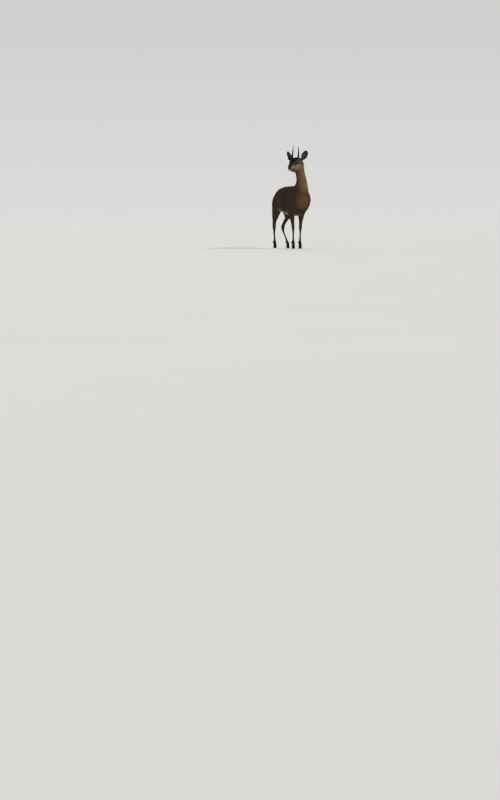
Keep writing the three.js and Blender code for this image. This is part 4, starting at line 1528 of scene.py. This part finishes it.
def dewclaw(node, material):  # a blunt cone from deep in the hair to the solid's own tip
    plan, places = clawPlan, pointsOf(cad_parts[node].data)
    low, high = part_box(node)
    root = places[places[:, 2] > high.z - plan["ends"][0]].mean(0)
    tip = places[places[:, 2] < low.z + plan["ends"][1]].mean(0)
    length = float(np.linalg.norm(tip - root)) / mm
    profile = [(0, -plan["rooted"])]
    for step in range(plan["steps"] + 1):
        share = step / plan["steps"]
        half = plan["half"] * (1 - plan["taper"] * share) * math.sqrt(max(0.0, 1 - share**6))
        profile.append((half, -plan["rooted"] + (length + plan["rooted"]) * share))
    shape = spun(profile, plan["turns"])
    turn = Vector(tip - root).to_track_quat("Z", "Y").to_matrix().to_4x4()
    bmesh.ops.transform(shape, matrix=Matrix.Translation(root) @ turn, verts=shape.verts)
    mesh = closedMesh(shape, f"{node}_claw")
    write(mesh, "sole", np.zeros(len(mesh.vertices)))
    newPiece(f"{node}_claw", mesh, material, [node])


hoofPaint = hoofMaterial()
for foot in feet:
    for place in ("outer", "inner"):
        hoof(f"hoof_{foot}_{place}", hoofPaint)
        dewclaw(f"dewclaw_{foot}_{place}", hoofPaint)
print("stage: hooves")

# Floor, light and camera
studioPlan = {
    "floorRadius": 90.0,
    "floorEdges": 96,
    "skyTones": ((0.0, 0.722), (0.55, 0.30)),
    "skyTint": (1, 0.99, 0.975),
}


def floorMaterial():
    paint = Paint("pale floor", Roughness=0.85)
    mottle = paint.noise(1.5, 3)
    return paint.finish(paint.mix(mottle, (0.74, 0.73, 0.71), (0.78, 0.77, 0.75)))


def floor():
    shape = bmesh.new()
    segments, radius = studioPlan["floorEdges"], studioPlan["floorRadius"]
    bmesh.ops.create_circle(shape, cap_ends=True, segments=segments, radius=radius)
    mesh = meshFrom(shape, "floor", False)
    mesh.materials.append(floorMaterial())
    placed("floor", mesh)


def sky():  # soft light from all round, a little stronger from above
    world = bpy.data.worlds.new("studio")
    bpy.context.scene.world = world
    world.use_nodes = True
    nodes, links = world.node_tree.nodes, world.node_tree.links
    spot = nodes.new("ShaderNodeTexCoord")
    apart = nodes.new("ShaderNodeSeparateXYZ")
    ramp = nodes.new("ShaderNodeValToRGB")
    for element, (place, tone) in zip(ramp.color_ramp.elements, studioPlan["skyTones"]):
        element.position = place
        element.color = (*[tone * part for part in studioPlan["skyTint"]], 1)
    links.new(spot.outputs["Generated"], apart.inputs[0])
    links.new(apart.outputs["Z"], ramp.inputs[0])
    links.new(ramp.outputs[0], nodes["Background"].inputs["Color"])
    nodes["Background"].inputs["Strength"].default_value = 1.0


# name: where the light comes from, how soft it is in degrees, and its strength
lampPlan = {
    "key": ((2.4, -2.6, 3.0), 22, 1.9),
    "fill": ((-3.6, -2.0, 1.4), 50, 0.3),
    "rim": ((1.2, 3.6, 2.8), 30, 0.8),
}


def lamps():
    for name, (way, soft, strength) in lampPlan.items():
        lamp = bpy.data.lights.new(name, "SUN")
        lamp.angle = math.radians(soft)
        lamp.energy = strength
        placed(name, lamp).rotation_euler = (-Vector(way)).to_track_quat("-Z", "Y").to_euler()


# The photograph is 500 wide and 800 high, and the animal's middle lies right of and above its centre
cameraPlan = {
    "azimuth": math.radians(-28),
    "distance": 15.0,
    "height": 0.25,
    "frame": (500, 800),
    "metresPerPixel": 0.00865,
    "bodyCentre": (288.3, 197.6),  # where the middle of the animal's outline lies in the picture
    "sensor": 36.0,
    "clipEnd": 200,
}


def camera():
    plan = cameraPlan
    wide, high = plan["frame"]
    centre = (solidsBox[0] + solidsBox[1]) / 2
    back = Vector((math.sin(plan["azimuth"]), -math.cos(plan["azimuth"]), 0))
    right = Vector((-back.y, back.x, 0))
    data = bpy.data.cameras.new("camera")
    data.sensor_width = plan["sensor"]
    data.lens = plan["sensor"] * plan["distance"] / (high * plan["metresPerPixel"])
    data.clip_end = plan["clipEnd"]
    holder = placed("camera", data)
    holder.location = centre + back * plan["distance"]
    holder.location.z = plan["height"]
    # What lies at the picture's centre, on an upright plane through the animal
    aside = (wide / 2 - plan["bodyCentre"][0]) * plan["metresPerPixel"]
    below = (high / 2 - plan["bodyCentre"][1]) * plan["metresPerPixel"]
    aim = centre + right * aside - Vector((0, 0, below))
    holder.rotation_euler = (aim - holder.location).to_track_quat("-Z", "Y").to_euler()
    bpy.context.scene.camera = holder


floor()
sky()
lamps()
camera()
bpy.context.scene.view_settings.view_transform = "Standard"
print("stage: studio")
